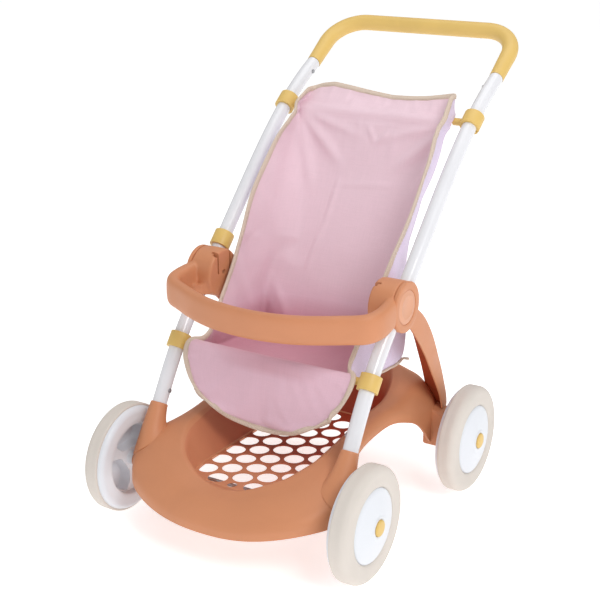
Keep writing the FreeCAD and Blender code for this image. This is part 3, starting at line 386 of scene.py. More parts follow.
def plastic(name, rgb, rough=0.42, grain=0.00006, grain_scale=2600.0, tone=0.035, dark=None,
            specular=0.45, sss=0.0, waviness=0.00008):
    """Injection-moulded plastic: faint flow marks, fine spark-eroded grain, uneven sheen."""
    m = Mat(name)
    base = lin(*rgb)
    dk = tuple(c * (1 - 2.2 * tone) for c in base[:3]) + (1.0,)
    lt = tuple(min(1.0, c * (1 + 1.6 * tone)) for c in base[:3]) + (1.0,)
    flow = m.noise(9.0, 5.0, 0.55, dist=1.2)
    speck = m.noise(900.0, 2.0, 0.5)
    c1 = m.mix(m.remap(flow, 0.3, 0.7, 0.0, 1.0), dk, lt)
    c2 = m.mix(m.remap(speck, 0.35, 0.75, 0.0, 0.10), c1, tuple(c * 0.8 for c in base[:3]) + (1.0,))
    m.to("Base Color", c2)
    m.to("Roughness", m.math("ADD", m.remap(m.noise(38.0, 4.0), 0.3, 0.7, rough - 0.05, rough + 0.06),
                             m.remap(m.noise(480.0, 2.0), 0.3, 0.7, -0.02, 0.02)))
    grain_h = m.noise(grain_scale, 3.0, 0.6)
    wave_h = m.noise(26.0, 2.0, 0.4)
    nrm = m.bump(wave_h, 0.5, waviness * 8)
    nrm = m.bump(grain_h, 0.35, grain, nrm)
    m.to("Normal", nrm)
    m.set(Specular_IOR_Level=specular, IOR=1.49)
    if sss:
        m.set(Subsurface_Weight=sss, Subsurface_Radius=(0.004, 0.002, 0.001), Subsurface_Scale=1.0)
    return m.m


def well(name, light, deep):
    """The same moulded plastic down in the basket, with painted shade: the colour darkens to red-brown towards the
    rear, low down and towards +X, where the seat shades the basket.
    """
    mat = plastic(name, light, rough=0.5, tone=0.02)
    m = Mat.__new__(Mat)
    m.m, m.t = mat, mat.node_tree
    m.n, m.l = m.t.nodes, m.t.links
    m.bsdf = m.n["Principled BSDF"]
    m.coord = [n for n in m.n if n.type == "TEX_COORD"][0]
    old = m.bsdf.inputs["Base Color"].links[0].from_socket
    geo = m.n.new("ShaderNodeNewGeometry")
    sep = m.node("ShaderNodeSeparateXYZ", Vector=geo.outputs["Position"])
    # painted shade mask: strongest towards the rear, low down and towards +X
    back = m.remap(sep.outputs["Y"], (FY + 20.0) / 1000.0, (FY + 105.0) / 1000.0, 0.0, 1.0)
    low = m.remap(sep.outputs["Z"], 0.146, 0.112, 0.0, 1.0)
    right = m.remap(sep.outputs["X"], -0.11, 0.02, 0.35, 1.0)
    painted_shade_amount = m.math("MULTIPLY", m.math("MULTIPLY", back, low), right)
    m.to("Base Color", m.mix(painted_shade_amount, old, lin(*deep)))
    return mat


def steel(name, rgb=(178, 178, 182), rough=0.32):
    m = Mat(name)
    base = lin(*rgb)
    streak = m.node("ShaderNodeMapping", Vector=m.coord.outputs["Object"], Scale=(4.0, 900.0, 900.0))
    n = m.noise(1.0, 3.0, 0.5, vec=streak.outputs["Vector"])
    m.to("Base Color", m.mix(m.remap(n, 0.3, 0.7, 0.0, 1.0), tuple(c * 0.8 for c in base[:3]) + (1,), base))
    m.to("Roughness", m.remap(n, 0.3, 0.7, rough - 0.08, rough + 0.1))
    m.to("Normal", m.bump(n, 0.15, 0.00004))
    m.set(Metallic=1.0)
    return m.m


def lacquer(name, rgb=(228, 228, 232), rough=0.2):
    """Gloss powder coat on steel tube: slight orange peel under a clear gloss."""
    m = Mat(name)
    base = lin(*rgb)
    peel = m.noise(420.0, 2.0, 0.45)
    slow = m.noise(14.0, 3.0, 0.5)
    m.to("Base Color", m.mix(m.remap(slow, 0.3, 0.7, 0.0, 1.0), tuple(c * 0.965 for c in base[:3]) + (1,), base))
    m.to("Roughness", m.remap(slow, 0.3, 0.7, rough - 0.03, rough + 0.07))
    m.to("Normal", m.bump(peel, 0.22, 0.00008))
    m.set(Specular_IOR_Level=0.5, Coat_Weight=0.35, Coat_Roughness=0.12)
    return m.m


def woven(name, rgb, dip_shade_rgb, pitch=0.00085, sheen=0.35, depth=0.00010, uv=True, mottled=0.018):
    """Plain-weave polyester: crossing yarns as height and sheen, with painted shade darkening the colour where the
    weave dips, and slubs and soft mottling.
    """
    m = Mat(name)
    src = m.coord.outputs["UV"] if uv else m.coord.outputs["Object"]
    sep = m.node("ShaderNodeSeparateXYZ", Vector=src)
    warp = m.noise(3.0 / pitch * 0.02, 2.0, 0.5, vec=src)
    u = m.math("MULTIPLY", sep.outputs["X"], 2 * math.pi / pitch)
    v = m.math("MULTIPLY", sep.outputs["Y"], 2 * math.pi / pitch)
    u = m.math("ADD", u, m.math("MULTIPLY", warp, 1.6))
    v = m.math("ADD", v, m.math("MULTIPLY", warp, 1.6))
    su, sv = m.math("SINE", u), m.math("SINE", v)
    hu = m.math("SINE", m.math("MULTIPLY", u, 0.5))
    hv = m.math("SINE", m.math("MULTIPLY", v, 0.5))
    over = m.math("MULTIPLY", hu, hv)                     # which yarn lies on top
    yarn = m.math("ADD", m.math("MULTIPLY", m.math("ABSOLUTE", hu), 0.5), m.math("MULTIPLY", m.math("ABSOLUTE", hv), 0.5))
    height = m.math("ADD", yarn, m.math("MULTIPLY", over, 0.35))
    slub = m.noise(1.0, 3.0, 0.6, vec=m.node("ShaderNodeMapping", Vector=src, Scale=(30.0, 700.0, 1.0)).outputs["Vector"])
    slub2 = m.noise(1.0, 3.0, 0.6, vec=m.node("ShaderNodeMapping", Vector=src, Scale=(700.0, 30.0, 1.0)).outputs["Vector"])
    a, b = lin(*rgb), lin(*dip_shade_rgb)
    # painted shade: the colour goes to the darker tone where the weave dips
    c = m.mix(m.remap(height, 0.2, 1.0, 0.0, 1.0), b, a)
    tint = m.math("ADD", m.remap(slub, 0.3, 0.7, -mottled, mottled), m.remap(slub2, 0.3, 0.7, -mottled, mottled))
    soft = m.noise(16.0, 4.0, 0.55)
    tint = m.math("ADD", tint, m.remap(soft, 0.3, 0.7, -mottled * 0.8, mottled * 0.8))
    hsv = m.n.new("ShaderNodeHueSaturation")
    m.l.new(c, hsv.inputs["Color"])
    m.l.new(m.math("ADD", tint, 1.0), hsv.inputs["Value"])
    m.to("Base Color", hsv.outputs["Color"])
    m.to("Roughness", m.remap(slub, 0.3, 0.7, 0.72, 0.88))
    nrm = m.bump(m.noise(55.0, 4.0, 0.6), 0.35, 0.0012)
    nrm = m.bump(height, 0.8, depth, nrm)
    m.to("Normal", nrm)
    m.set(Specular_IOR_Level=0.2, Sheen_Weight=sheen, Sheen_Roughness=0.4)
    return m.m


def paint_pan_shade(mat):
    """Painted shade on the pink: slightly darker low down, and deepest in the seat's pan and a little on the flap in
    front of it.
    """
    m = Mat.__new__(Mat)
    m.m, m.t = mat, mat.node_tree
    m.n, m.l = m.t.nodes, m.t.links
    m.bsdf = m.n["Principled BSDF"]
    m.coord = [n for n in m.n if n.type == "TEX_COORD"][0]
    old = m.bsdf.inputs["Base Color"].links[0].from_socket
    geo = m.n.new("ShaderNodeNewGeometry")
    sep = m.node("ShaderNodeSeparateXYZ", Vector=geo.outputs["Position"])
    # painted shade: a light darkening below 0.25 m
    low = m.remap(sep.outputs["Z"], 0.250, 0.205, 0.0, 1.0)
    c = m.mix(low, old, (0.92, 0.83, 0.88, 1.0), "MULTIPLY")
    across = m.math("MULTIPLY", sep.outputs["X"], sep.outputs["X"])
    # the painted shade reaches further forward in the middle, across the flap's top
    shade_edge_sag = m.remap(across, 0.0, 0.0116, 0.022, 0.0)
    inside = m.remap(m.math("ADD", sep.outputs["Y"], shade_edge_sag), (FY + 72.0) / 1000.0, (FY + 92.0) / 1000.0, 0.0, 1.0)
    down = m.math("MULTIPLY", m.remap(sep.outputs["Z"], 0.228, 0.200, 0.0, 1.0), m.remap(sep.outputs["Z"], 0.184, 0.193, 0.0, 1.0))
    pan = m.remap(sep.outputs["Y"], (FY + 74.0) / 1000.0, (FY + 82.0) / 1000.0, 0.0, 1.0)
    down = m.math("MAXIMUM", down, m.math("MULTIPLY", pan, m.remap(sep.outputs["Z"], 0.228, 0.200, 0.0, 1.0)))
    m.to("Base Color", m.mix(m.math("MULTIPLY", inside, down), c, (0.76, 0.55, 0.57, 1.0), "MULTIPLY"))


CLAY = plastic("clay_plastic", (206, 138, 98), rough=0.46, tone=0.02)
# a darker, redder copy of the clay: painted shade for the arms' inner channel faces
CLAY_INNER_PAINTED_SHADE = plastic("clay_inner_painted_shade", (176, 76, 42), rough=0.55, tone=0.025)
# clay that darkens with painted shade down at the basket's rear
CLAY_WELL_PAINTED_SHADE = well("clay_well_painted_shade", (203, 131, 94), (168, 62, 32))
BADGE = plastic("badge_plastic", (219, 160, 128), rough=0.5, tone=0.02)
MUSTARD = plastic("mustard_plastic", (222, 187, 108), rough=0.44, tone=0.02, sss=0.0)
TYRE = plastic("cream_tyre", (214, 206, 198), rough=0.62, tone=0.02, grain=0.00012, grain_scale=1500.0, specular=0.3)
RIM = plastic("white_rim", (222, 225, 231), rough=0.38, tone=0.012, grain=0.00003)
TUBE = lacquer("white_lacquer")
STEEL = steel("zinc_steel")
PINK = woven("pink_cloth", (240, 213, 223), (227, 196, 207))
# paints shade into the pink down in the pan and on the flap's top
paint_pan_shade(PINK)
LILAC = woven("lilac_backing", (232, 219, 238), (214, 198, 224), pitch=0.0011, sheen=0.25)
BINDING = woven("beige_binding", (222, 205, 190), (198, 178, 160), pitch=0.0007, sheen=0.2, uv=False)
THREAD = woven("beige_thread", (214, 196, 178), (186, 166, 148), pitch=0.0004, sheen=0.2, uv=False)


def paint(ob, material):
    ob.data.materials.clear()
    ob.data.materials.append(material)


# ------------------------------------------------------------------ base moulding
STATIONS = [
    ((0, -24), (0, -30, 79.5), (0, -36, 81.5), (0, -60, 76), (0, -77, 57), (0, -78, 45)),
    ((25, -22), (28, -29, 84), (30, -34, 86.5), (38, -57, 78), (42, -75, 59), (42, -76, 47)),
    ((45, -16), (50, -20, 92), (53, -25, 95), (68, -49, 86), (80, -67, 66), (80, -68, 53)),
    ((57, -6), (67, -8, 99), (72, -11, 102), (96, -32, 95), (115, -48, 75), (114, -50, 60)),
    ((62, 8), (77, 6, 105.5), (84, 5, 109), (113, -10, 104), (135, -24, 84), (134, -27, 63)),
    ((63, 25), (84, 24, 110), (91, 24, 114.5), (121, 14, 112), (144, 2, 89), (142, -2, 66)),
    ((63, 45), (86, 44, 113.5), (93, 44, 118), (114, 40, 116), (132, 34, 102), (132, 32, 82)),
    ((63, 70), (87, 70, 117.5), (94, 70, 121.5), (108, 69, 121), (118, 66, 112), (117, 66, 103)),
    ((63, 100), (87, 100, 121.5), (94, 100, 125.5), (105, 100, 126), (114, 100, 120), (114, 100, 112)),
    ((63, 130), (86, 130, 124), (93, 130, 128), (105, 130, 129), (114, 130, 122), (114, 130, 114)),
    ((63, 160), (86, 160, 126), (93, 160, 130), (106, 161, 129.5), (115, 162, 121), (115, 162, 112)),
    ((62, 188), (85, 192, 129), (93, 194, 132.5), (108, 196, 128.5), (119, 197, 115), (119, 197, 101)),
    ((60, 208), (80, 220, 140), (90, 224, 141), (110, 230, 132), (122, 234, 108), (122, 228, 81)),
    ((53, 221), (69, 240, 149), (81, 247, 149), (104, 258, 137), (122, 266, 105), (122, 254, 54)),
    ((40, 229), (54, 249, 151), (62, 257, 151), (80, 272, 135), (96, 287, 106), (97, 289, 62)),
    ((20, 232), (28, 252, 151), (32, 261, 151), (40, 278, 136), (48, 293, 106), (48, 295, 64)),
    ((0, 233), (0, 253, 151), (0, 262, 151), (0, 279, 136), (0, 295, 106), (0, 297, 64)),
]


def base_ring():
    half = np.array([[(p[0], p[1], p[2] if len(p) > 2 else FLOOR_Z) for p in s] for s in STATIONS], float)
    left = half[1:-1][::-1].copy()
    left[..., 0] *= -1
    return np.concatenate([half, left], 0)


ring = base_ring()
dense = cubic(ring, 288, closed=True)
foot = dense[:, 0]
across = dense[:, -1] - foot
across[:, 2] = 0
across /= np.linalg.norm(across, axis=1, keepdims=True)
start = foot - across * 3.0
start[:, 2] = FLOOR_Z + 0.25
foot2 = foot.copy()
foot2[:, 2] = FLOOR_Z + 0.25
top = np.concatenate([start[:, None], foot2[:, None], dense[:, 1:]], 1)
top_soft = rounded(top, [0, 3.5, 3.2, 2.6, 34.0, 9.0, 0], n=7)
top_crisp = rounded(top, [0, 3.5, 2.4, 3.0, 9.0, 12.0, 0], n=7)
aft = np.clip((foot[:, 1] - 60.0) / 90.0, 0, 1)
aft = (aft * aft * (3 - 2 * aft))[:, None, None]
top_round = top_soft * (1 - aft) + top_crisp * aft
# underside: the same skin set in by the wall thickness
flat_u = ((top_round - foot[:, None]) * across[:, None]).sum(-1)
flat_z = top_round[..., 2]
du, dz = np.gradient(flat_u, axis=1), np.gradient(flat_z, axis=1)
ln = np.sqrt(du ** 2 + dz ** 2) + 1e-9
nu_, nz_ = dz / ln, -du / ln
wall = 2.5
under = top_round + across[:, None] * (nu_ * wall)[..., None]
under[..., 2] = flat_z + nz_ * wall
under[:, 0] = start - np.array([0, 0, 2.9])
under[:, -1, 2] = top_round[:, -1, 2]
loop = np.concatenate([top_round, under[:, ::-1]], 1)
base = Build()
base.grid(loop, closed_u=True, closed_v=True, caps=False)
ncol_loop = loop.shape[1]
# the basket's inner faces take the clay with painted shade
base.m = [1 if 4 <= j < 15 else 0 for _ in range(loop.shape[0]) for j in range(ncol_loop)]
base_ob = base.obj("base_moulding", [CLAY, CLAY_WELL_PAINTED_SHADE])
auto_smooth(base_ob, 50)
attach(base_ob, "frame")


def soft_box(b, lo, hi, r, taper=None, n=5):
    """Box with rounded edges, as rings up the Z axis."""
    (x0, y0, z0), (x1, y1, z1) = lo, hi
    corners = np.array([[x0, y0, 0], [x1, y0, 0], [x1, y1, 0], [x0, y1, 0]], float)
    c = corners.mean(0)
    rows = []
    for k in range(n + 1):
        a = k / n * math.pi / 2
        rows.append((z0 + r * (1 - math.sin(a)), r * (1 - math.cos(a))))
    rows = rows[::-1]
    prof = [(z0 + r * (1 - math.cos(k / n * math.pi / 2)), r * (1 - math.sin(k / n * math.pi / 2))) for k in range(n + 1)]
    prof += [(z1 - r * (1 - math.cos(k / n * math.pi / 2)), r * (1 - math.sin(k / n * math.pi / 2))) for k in range(n, -1, -1)]
    rings = []
    for z, ins in prof:
        q = corners.copy()
        q[:, 0] += np.sign(c[0] - q[:, 0]) * ins
        q[:, 1] += np.sign(c[1] - q[:, 1]) * ins
        if taper is not None:
            t = (z - z0) / (z1 - z0)
            q[:, 0] += taper[0] * t
            q[:, 1] += taper[1] * t
        rr = rounded(q, [r] * 4, n=4, closed=True)
        rr[:, 2] = z
        rings.append(rr)
    b.grid(np.array(rings), closed_u=False, closed_v=True, caps=True)


lug = Build()
lug_out = 149.3
for sx in (1, -1):
    lo = (112.0, AXLE_R.y * 1000 - FY - 15.0, 52.0)
    hi = (lug_out, AXLE_R.y * 1000 - FY + 14.0, 104.0)
    part = Build()
    soft_box(part, lo, hi, 3.0)
    v = np.array(part.v)
    # the lug's top slopes down outboard, away from the arm's foot
    t = np.clip((v[:, 0] - 126.0) / 23.0, 0, 1)
    v[:, 2] = np.where(v[:, 2] > 78, 78 + (v[:, 2] - 78) * (1 - 0.55 * t ** 1.5), v[:, 2])
    v[:, 0] *= sx
    base_i = len(lug.v)
    lug.v.extend(v)
    lug.f.extend([tuple(i + base_i for i in f) for f in part.f])
    lug.m.extend(part.m)
    # round front boss, with the web that hangs it from the deck
    prof = [(110, 4.0), (110, 11.0), (146.5, 11.0), (148.6, 10.2), (lug_out, 8.4), (lug_out, 4.0)]
    lug.lathe([(a, r) for a, r in prof], np.array([0, 0.0, WHEEL_R]), (sx, 0, 0), n=48)
    part = Build()
    soft_box(part, (114.0, -6.5, WHEEL_R - 2), (139.0, 6.5, 101.0), 2.0)
    v = np.array(part.v)
    v[:, 0] *= sx
    base_i = len(lug.v)
    lug.v.extend(v)
    lug.f.extend([tuple(i + base_i for i in f) for f in part.f])
    lug.m.extend(part.m)
lug_ob = lug.obj("base_axle_lugs", [CLAY])
auto_smooth(lug_ob, 40)
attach(lug_ob, "frame")
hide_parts("base_tray")

# basket floor stays as made, with its edges eased; its clay carries painted shade towards the rear
floor_ob = nodes["basket_floor"]
paint(floor_ob, CLAY_WELL_PAINTED_SHADE)

# ------------------------------------------------------------------ side tubes' line
TUBE_LINE = np.array([(15.1, 116.4), (26.0, 134.7), (67.9, 200.6), (132.0, 272.5), (200.0, 343.0), (316.3, 454.2), (383.5, 496.8)])
TUBE_X = mid("left_frame_tube").x * 1000.0
TUBE_R = (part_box("left_frame_tube")[1].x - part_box("left_frame_tube")[0].x) * 500.0
TUBE_FINE = cubic(TUBE_LINE, 400)


def tube_at(z, x=TUBE_X):
    i = int(np.argmin(np.abs(TUBE_FINE[:, 1] - z)))
    i = min(max(i, 1), len(TUBE_FINE) - 2)
    t = TUBE_FINE[i + 1] - TUBE_FINE[i - 1]
    t = t / np.linalg.norm(t)
    return np.array([x, TUBE_FINE[i, 0], TUBE_FINE[i, 1]]), np.array([0.0, t[0], t[1]])


# ------------------------------------------------------------------ front legs
LEG_FOOT = np.array([(147.2, 4.0, 82.0), (144.5, 24.0, 92.0), (130.0, 33.0, 104.0), (115.0, 26.0, 113.0),
                     (110.5, 8.0, 107.5), (115.0, -10.0, 101.0), (130.0, -20.0, 90.0), (143.5, -13.0, 80.5)])


def leg(sx):
    """Flared socket that holds the tube's foot and sweeps out over the deck's shoulder."""
    b = Build()
    top_p, top_t = tube_at(135.2, TUBE_X)
    n = 96
    th = np.arange(n) * 2 * math.pi / n
    ex = np.array([1.0, 0, 0])
    ey = np.cross(top_t, ex)
    foot_ring = cubic(LEG_FOOT, n, closed=True)
    rings = []
    R0 = TUBE_R + 0.25
    for r, q in ((R0, 0.0), (R0 + 0.5, -0.1), (R0 + 1.1, -0.6), (R0 + 1.35, -1.5), (R0 + 1.45, -3.5)):
        rings.append(top_p + top_t * q + r * np.cos(th)[:, None] * ex + r * np.sin(th)[:, None] * ey)
    for k in range(1, 25):
        q = k / 24.0
        w = q ** 2.1
        c = top_p - top_t * (3.5 + 32.0 * q)
        r = R0 + 1.45 + 3.0 * q
        circ = c + r * np.cos(th)[:, None] * ex + r * np.sin(th)[:, None] * ey
        rings.append(circ * (1 - w) + foot_ring * w)
    c = foot_ring.mean(0)
    rings.append(c + (foot_ring - c) * 0.985 + np.array([0, 0, -0.9]))
    rings.append(c + (foot_ring - c) * 0.9 + np.array([0, 0, -1.6]))
    P = np.array(rings)
    P[..., 0] *= sx
    b.grid(P, closed_u=False, closed_v=True, caps=True)
    ob = b.obj("front_%s_leg_holder" % ("left" if sx > 0 else "right"), [CLAY])
    auto_smooth(ob, 45)
    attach(ob, "frame")
    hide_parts("front_%s_leg" % ("left" if sx > 0 else "right"))
    return ob


for sx in (1, -1):
    leg(sx)

# ------------------------------------------------------------------ bumper bar with its drums
BAR_PLAN = np.array([(0, 10), (40, 13.5), (60, 18), (80, 25), (100, 34), (120, 44), (132, 50.5),
                     (140, 58.5), (145, 71), (146, 86), (144, 104), (140, 122)], float)


def block(b, lo, hi):
    (x0, y0, z0), (x1, y1, z1) = lo, hi
    x0, x1 = min(x0, x1), max(x0, x1)
    i = len(b.v)
    b.v.extend(np.array([(x, y, z) for x in (x0, x1) for y in (y0, y1) for z in (z0, z1)], float))
    for f in ((0, 1, 3, 2), (4, 6, 7, 5), (0, 4, 5, 1), (2, 3, 7, 6), (0, 2, 6, 4), (1, 5, 7, 3)):
        b.f.append(tuple(i + k for k in f))
        b.m.append(0)


def drum_cut(ob):
    """Two upright slots, a notch at the rim and a screw well in each drum's inner face."""
    for tag in ("slots", "wells"):
        c = Build()
        for sx in (1, -1):
            x0, x1 = sx * 105.0, sx * 116.5
            if tag == "slots":
                for dy in (-12.0, 13.0):
                    block(c, (x0, HUB_Y + dy - 1.5, HUB_Z + 1.2), (x1, HUB_Y + dy + 1.5, HUB_Z + 40.0))
            else:
                block(c, (x0, HUB_Y - 16.5, HUB_Z + 22.5), (sx * 113.0, HUB_Y - 10.8, HUB_Z + 26.5))
                c.lathe([(sx * 104.0, 0.01), (sx * 104.0, 3.1), (sx * 112.0, 3.1), (sx * 112.0, 0.01)],
                        np.array([0, HUB_Y - 0.3, HUB_Z + 1.7]), (1, 0, 0), n=32)
        co = c.obj("drum_cutter", [CLAY])
        bo = ob.modifiers.new("cut", "BOOLEAN")
        bo.operation, bo.object = "DIFFERENCE", co
        bo.solver = "MANIFOLD"
        apply_mods(ob)
        bpy.data.objects.remove(co)


def bumper():
    plan = np.vstack([BAR_PLAN[:0:-1] * [-1, 1], BAR_PLAN])
    P = cubic(plan, 180)
    T = np.gradient(P, axis=0)
    T /= np.linalg.norm(T, axis=1, keepdims=True)
    N = np.stack([T[:, 1], -T[:, 0]], 1)          # outward in plan
    rings = []
    for (x, y), (nx, ny) in zip(P, N):
        zc = 262.5 + (y - 10.0) * 0.105
        end = np.clip((abs(x) - 120) / 25.0, 0, 1)
        h2, dep = 16.4 + 0.6 * end, 17.0
        sec = np.array([(0.0, -h2 * 0.62), (0.2, 0.0), (0.0, h2 * 0.62), (-2.2, h2 * 0.98), (-8.5, h2 * 1.04),
                        (-dep + 2.4, h2 * 0.92), (-dep, h2 * 0.55), (-dep, -h2 * 0.55), (-dep + 2.4, -h2 * 0.92),
                        (-8.5, -h2 * 1.02), (-2.2, -h2 * 0.97)])
        s3 = np.array([[x + d * nx, y + d * ny, zc + z] for d, z in sec])
        rings.append(rounded(s3, [6, 8, 6, 5, 6, 5, 6, 6, 5, 6, 5], n=3, closed=True))
    b = Build()
    b.grid(np.array(rings), closed_u=False, closed_v=True, caps=True)
    drum_out = DISC_OUT - 5.7
    drum_in = 107.4
    R = HUB_R
    for sx in (1, -1):
        prof = [(drum_in, 0.01), (drum_in, R - 3.0), (drum_in + 0.4, R - 1.6), (drum_in + 1.4, R - 0.7), (drum_in + 3.0, R - 0.2),
                (drum_in + 8.0, R), (drum_in + 12.0, R),
                (drum_out - 1.6, R), (drum_out - 0.5, R - 0.4), (drum_out, R - 1.2), (drum_out, 0.01)]
        b.lathe(prof, np.array([0, HUB_Y, HUB_Z]), (sx, 0, 0), n=96)
        # web that fills the corner between the drum and the bar's tail
        web = np.array([[(x, HUB_Y - 34.0 + 12.0 * t, 251.0 + 2.0 * t), (x, HUB_Y - 6.0, 246.0 + 1.5 * t), (x, HUB_Y - 6.0, 262.0), (x, HUB_Y - 36.0 + 12.0 * t, 266.0)]
                        for x, t in ((sx * 111.0, 1.0), (sx * 118.0, 0.35), (sx * 126.0, 0.0), (sx * 134.0, 0.0))])
        b.grid(web, closed_u=False, closed_v=True, caps=True, flip=sx < 0)
    ob = b.obj("bumper_bow", [CLAY])
    rem = ob.modifiers.new("melt", "REMESH")
    rem.mode = "VOXEL"
    rem.voxel_size = 0.0011
    rem.adaptivity = 0.0
    sm = ob.modifiers.new("ease", "SMOOTH")
    sm.factor, sm.iterations = 0.5, 9
    apply_mods(ob)
    ob.data.materials.clear()
    ob.data.materials.append(CLAY)
    drum_cut(ob)
    auto_smooth(ob, 32)
    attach(ob, "frame")
    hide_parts("bumper_bar")
    return ob


bumper_ob = bumper()

# ------------------------------------------------------------------ rear arms with hub discs
ARM_REAR = np.array([(153.0, 270.0), (165.0, 262.0), (183.5, 248.0), (199.0, 232.0), (217.5, 208.0), (233.5, 182.0),
                     (248.5, 157.0), (261.0, 133.0), (269.5, 114.0), (272.0, 103.0)])
ARM_FRONT = np.array([(129.0, 262.0), (146.0, 243.5), (163.5, 226.5), (181.4, 207.5), (198.0, 188.0), (213.6, 167.5),
                      (228.0, 149.0), (241.5, 131.0), (252.5, 113.0), (257.0, 102.0)])


def arm(sx):
    b = Build()
    n = 90
    rear, front = cubic(ARM_REAR, n), cubic(ARM_FRONT, n)
    rings = []
    for i in range(n):
        r, f = rear[i], front[i]
        z = 0.5 * (r[1] + f[1])
        xo = DISC_OUT - 0.5 - (HUB_Z - z) / 157.0 * 8.6
        xo = min(xo, DISC_OUT - 0.5)
        depth = 28.5 - 8.0 * np.clip((z - 240) / 25.0, 0, 1)
        u = (r - f) / np.linalg.norm(r - f)           # towards the rear edge
        t = 2.4
        pts = np.array([
            (xo, *f), (xo, *r), (xo - depth, *r), (xo - depth, *(r - u * t)),
            (xo - t, *(r - u * t * 1.3)), (xo - t, *f)])
        pts[:, 0] *= sx
        rings.append(rounded(pts, [0.9, 4.0, 0.8, 0.8, 2.0, 0.9], n=4, closed=True))
    b.grid(np.array(rings), closed_u=False, closed_v=True, caps=True)
    nv_ring = len(rings[0])
    # faces inboard of the outer plate take the darker clay: painted shade inside the channel
    for i in range(n - 1):
        for j in range(nv_ring):
            q = rings[i][j][0] * sx
            if q < DISC_OUT - 5.5 - (HUB_Z - 0.5 * (rear[i][1] + front[i][1])) / 157.0 * 8.6:
                b.m[i * nv_ring + j] = 1
    R = HUB_R
    br = 20.3
    o = DISC_OUT
    prof = [(o - 5.0, 0.01), (o - 5.0, R - 0.8), (o - 4.7, R - 0.2), (o - 4.2, R), (o - 1.3, R), (o - 0.7, R - 0.15),
            (o - 0.25, R - 0.5), (o, R - 1.2), (o, br + 1.0), (o - 0.25, br + 0.3), (o - 1.2, br), (o - 1.25, 0.01)]
    b.lathe(prof, np.array([0, HUB_Y, HUB_Z]), (sx, 0, 0), n=112)
    name = "left" if sx > 0 else "right"
    ob = b.obj("rear_%s_arm_moulding" % name, [CLAY, CLAY_INNER_PAINTED_SHADE])
    auto_smooth(ob, 40)
    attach(ob, "frame")
    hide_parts("rear_%s_arm" % name)
    # plate let into the disc: a plain plate with one raised ring
    c = Build()
    p2 = [(o - 1.15, 0.01), (o - 1.15, br - 0.35), (o - 0.62, br - 0.5), (o - 0.42, br - 1.1), (o - 0.42, 15.2), (o - 0.05, 14.6),
          (o + 0.08, 13.9), (o - 0.05, 13.2), (o - 0.42, 12.6), (o - 0.42, 0.01)]
    c.lathe(p2, np.array([0, HUB_Y, HUB_Z]), (sx, 0, 0), n=96)
    bo = c.obj("%s_hub_plate" % name, [BADGE])
    auto_smooth(bo, 50)
    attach(bo, "frame")
    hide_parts("%s_hub_badge" % name)


for sx in (1, -1):
    arm(sx)

# ------------------------------------------------------------------ wheels
def arc(cx, cy, r, a0, a1, n):
    return [(cx + r * math.cos(math.radians(a)), cy + r * math.sin(math.radians(a))) for a in np.linspace(a0, a1, n)]


def wheel_meshes():
    R = WHEEL_R
    tyre = Build()
    prof = [(-7.0, 46.4), (-7.0, R - 2.2)] + arc(-5.2, R - 1.9, 1.9, 180, 90, 5)
    prof += [(-1.2, R + 0.0), (-0.5, R - 0.12), (0.5, R - 0.12), (1.2, R)]
    prof += arc(13.5 - 8.4, R - 8.4, 8.4, 90, 0, 14)
    prof += [(13.5, 50.4), (13.3, 46.8), (12.7, 44.6), (11.6, 43.5), (10.2, 43.3), (8.9, 43.3), (8.9, 46.4)]
    tyre.lathe(prof, np.zeros(3), (1, 0, 0), n=128)
    # rim: domed cover outside, rounded flange and hollow inside
    rim = Build()
    prof = [(-14.0, 3.1), (-14.0, 7.6), (-13.4, 8.4), (-12.4, 8.7), (-6.8, 8.7), (-6.6, 42.6), (-12.0, 43.4),
            (-13.1, 44.2), (-13.6, 45.6), (-13.7, 50.0), (-13.4, 56.0)]
    prof += arc(-13.4 + 8.2, 56.0, 8.2, 180, 96, 12)
    prof += [(-7.35, 46.1), (8.6, 46.1), (8.6, 43.25), (10.9, 43.2), (11.8, 42.9), (12.3, 42.4), (12.9, 41.2)]
    for r in np.linspace(39.5, 13.5, 12):
        prof.append((13.4 + 6.3 * math.cos((r / 41.2) * math.pi / 2) ** 1.1, r))
    prof += [(19.62, 12.6), (19.62, 10.4), (19.4, 9.95), (18.8, 9.8), (17.0, 9.8), (17.0, 3.1)]
    rim.lathe(prof, np.zeros(3), (1, 0, 0), n=144)
    cap = Build()
    prof = [(17.3, 0.01), (17.3, 9.3), (20.2, 9.4), (21.0, 9.2), (21.6, 8.5), (21.9, 7.2), (22.0, 4.0), (22.02, 0.01)]
    cap.lathe(prof, np.zeros(3), (1, 0, 0), n=64)
    return tyre, rim, cap


def raw(build, name, mats):
    """Mesh object of a build in its own millimetres, not yet placed."""
    me = bpy.data.meshes.new(name)
    v = np.array(build.v) / 1000.0
    me.from_pydata([tuple(map(float, p)) for p in v], [], build.f)
    for m in mats:
        me.materials.append(m)
    ob = bpy.data.objects.new(name, me)
    bpy.context.scene.collection.objects.link(ob)
    tidy(ob)
    return ob


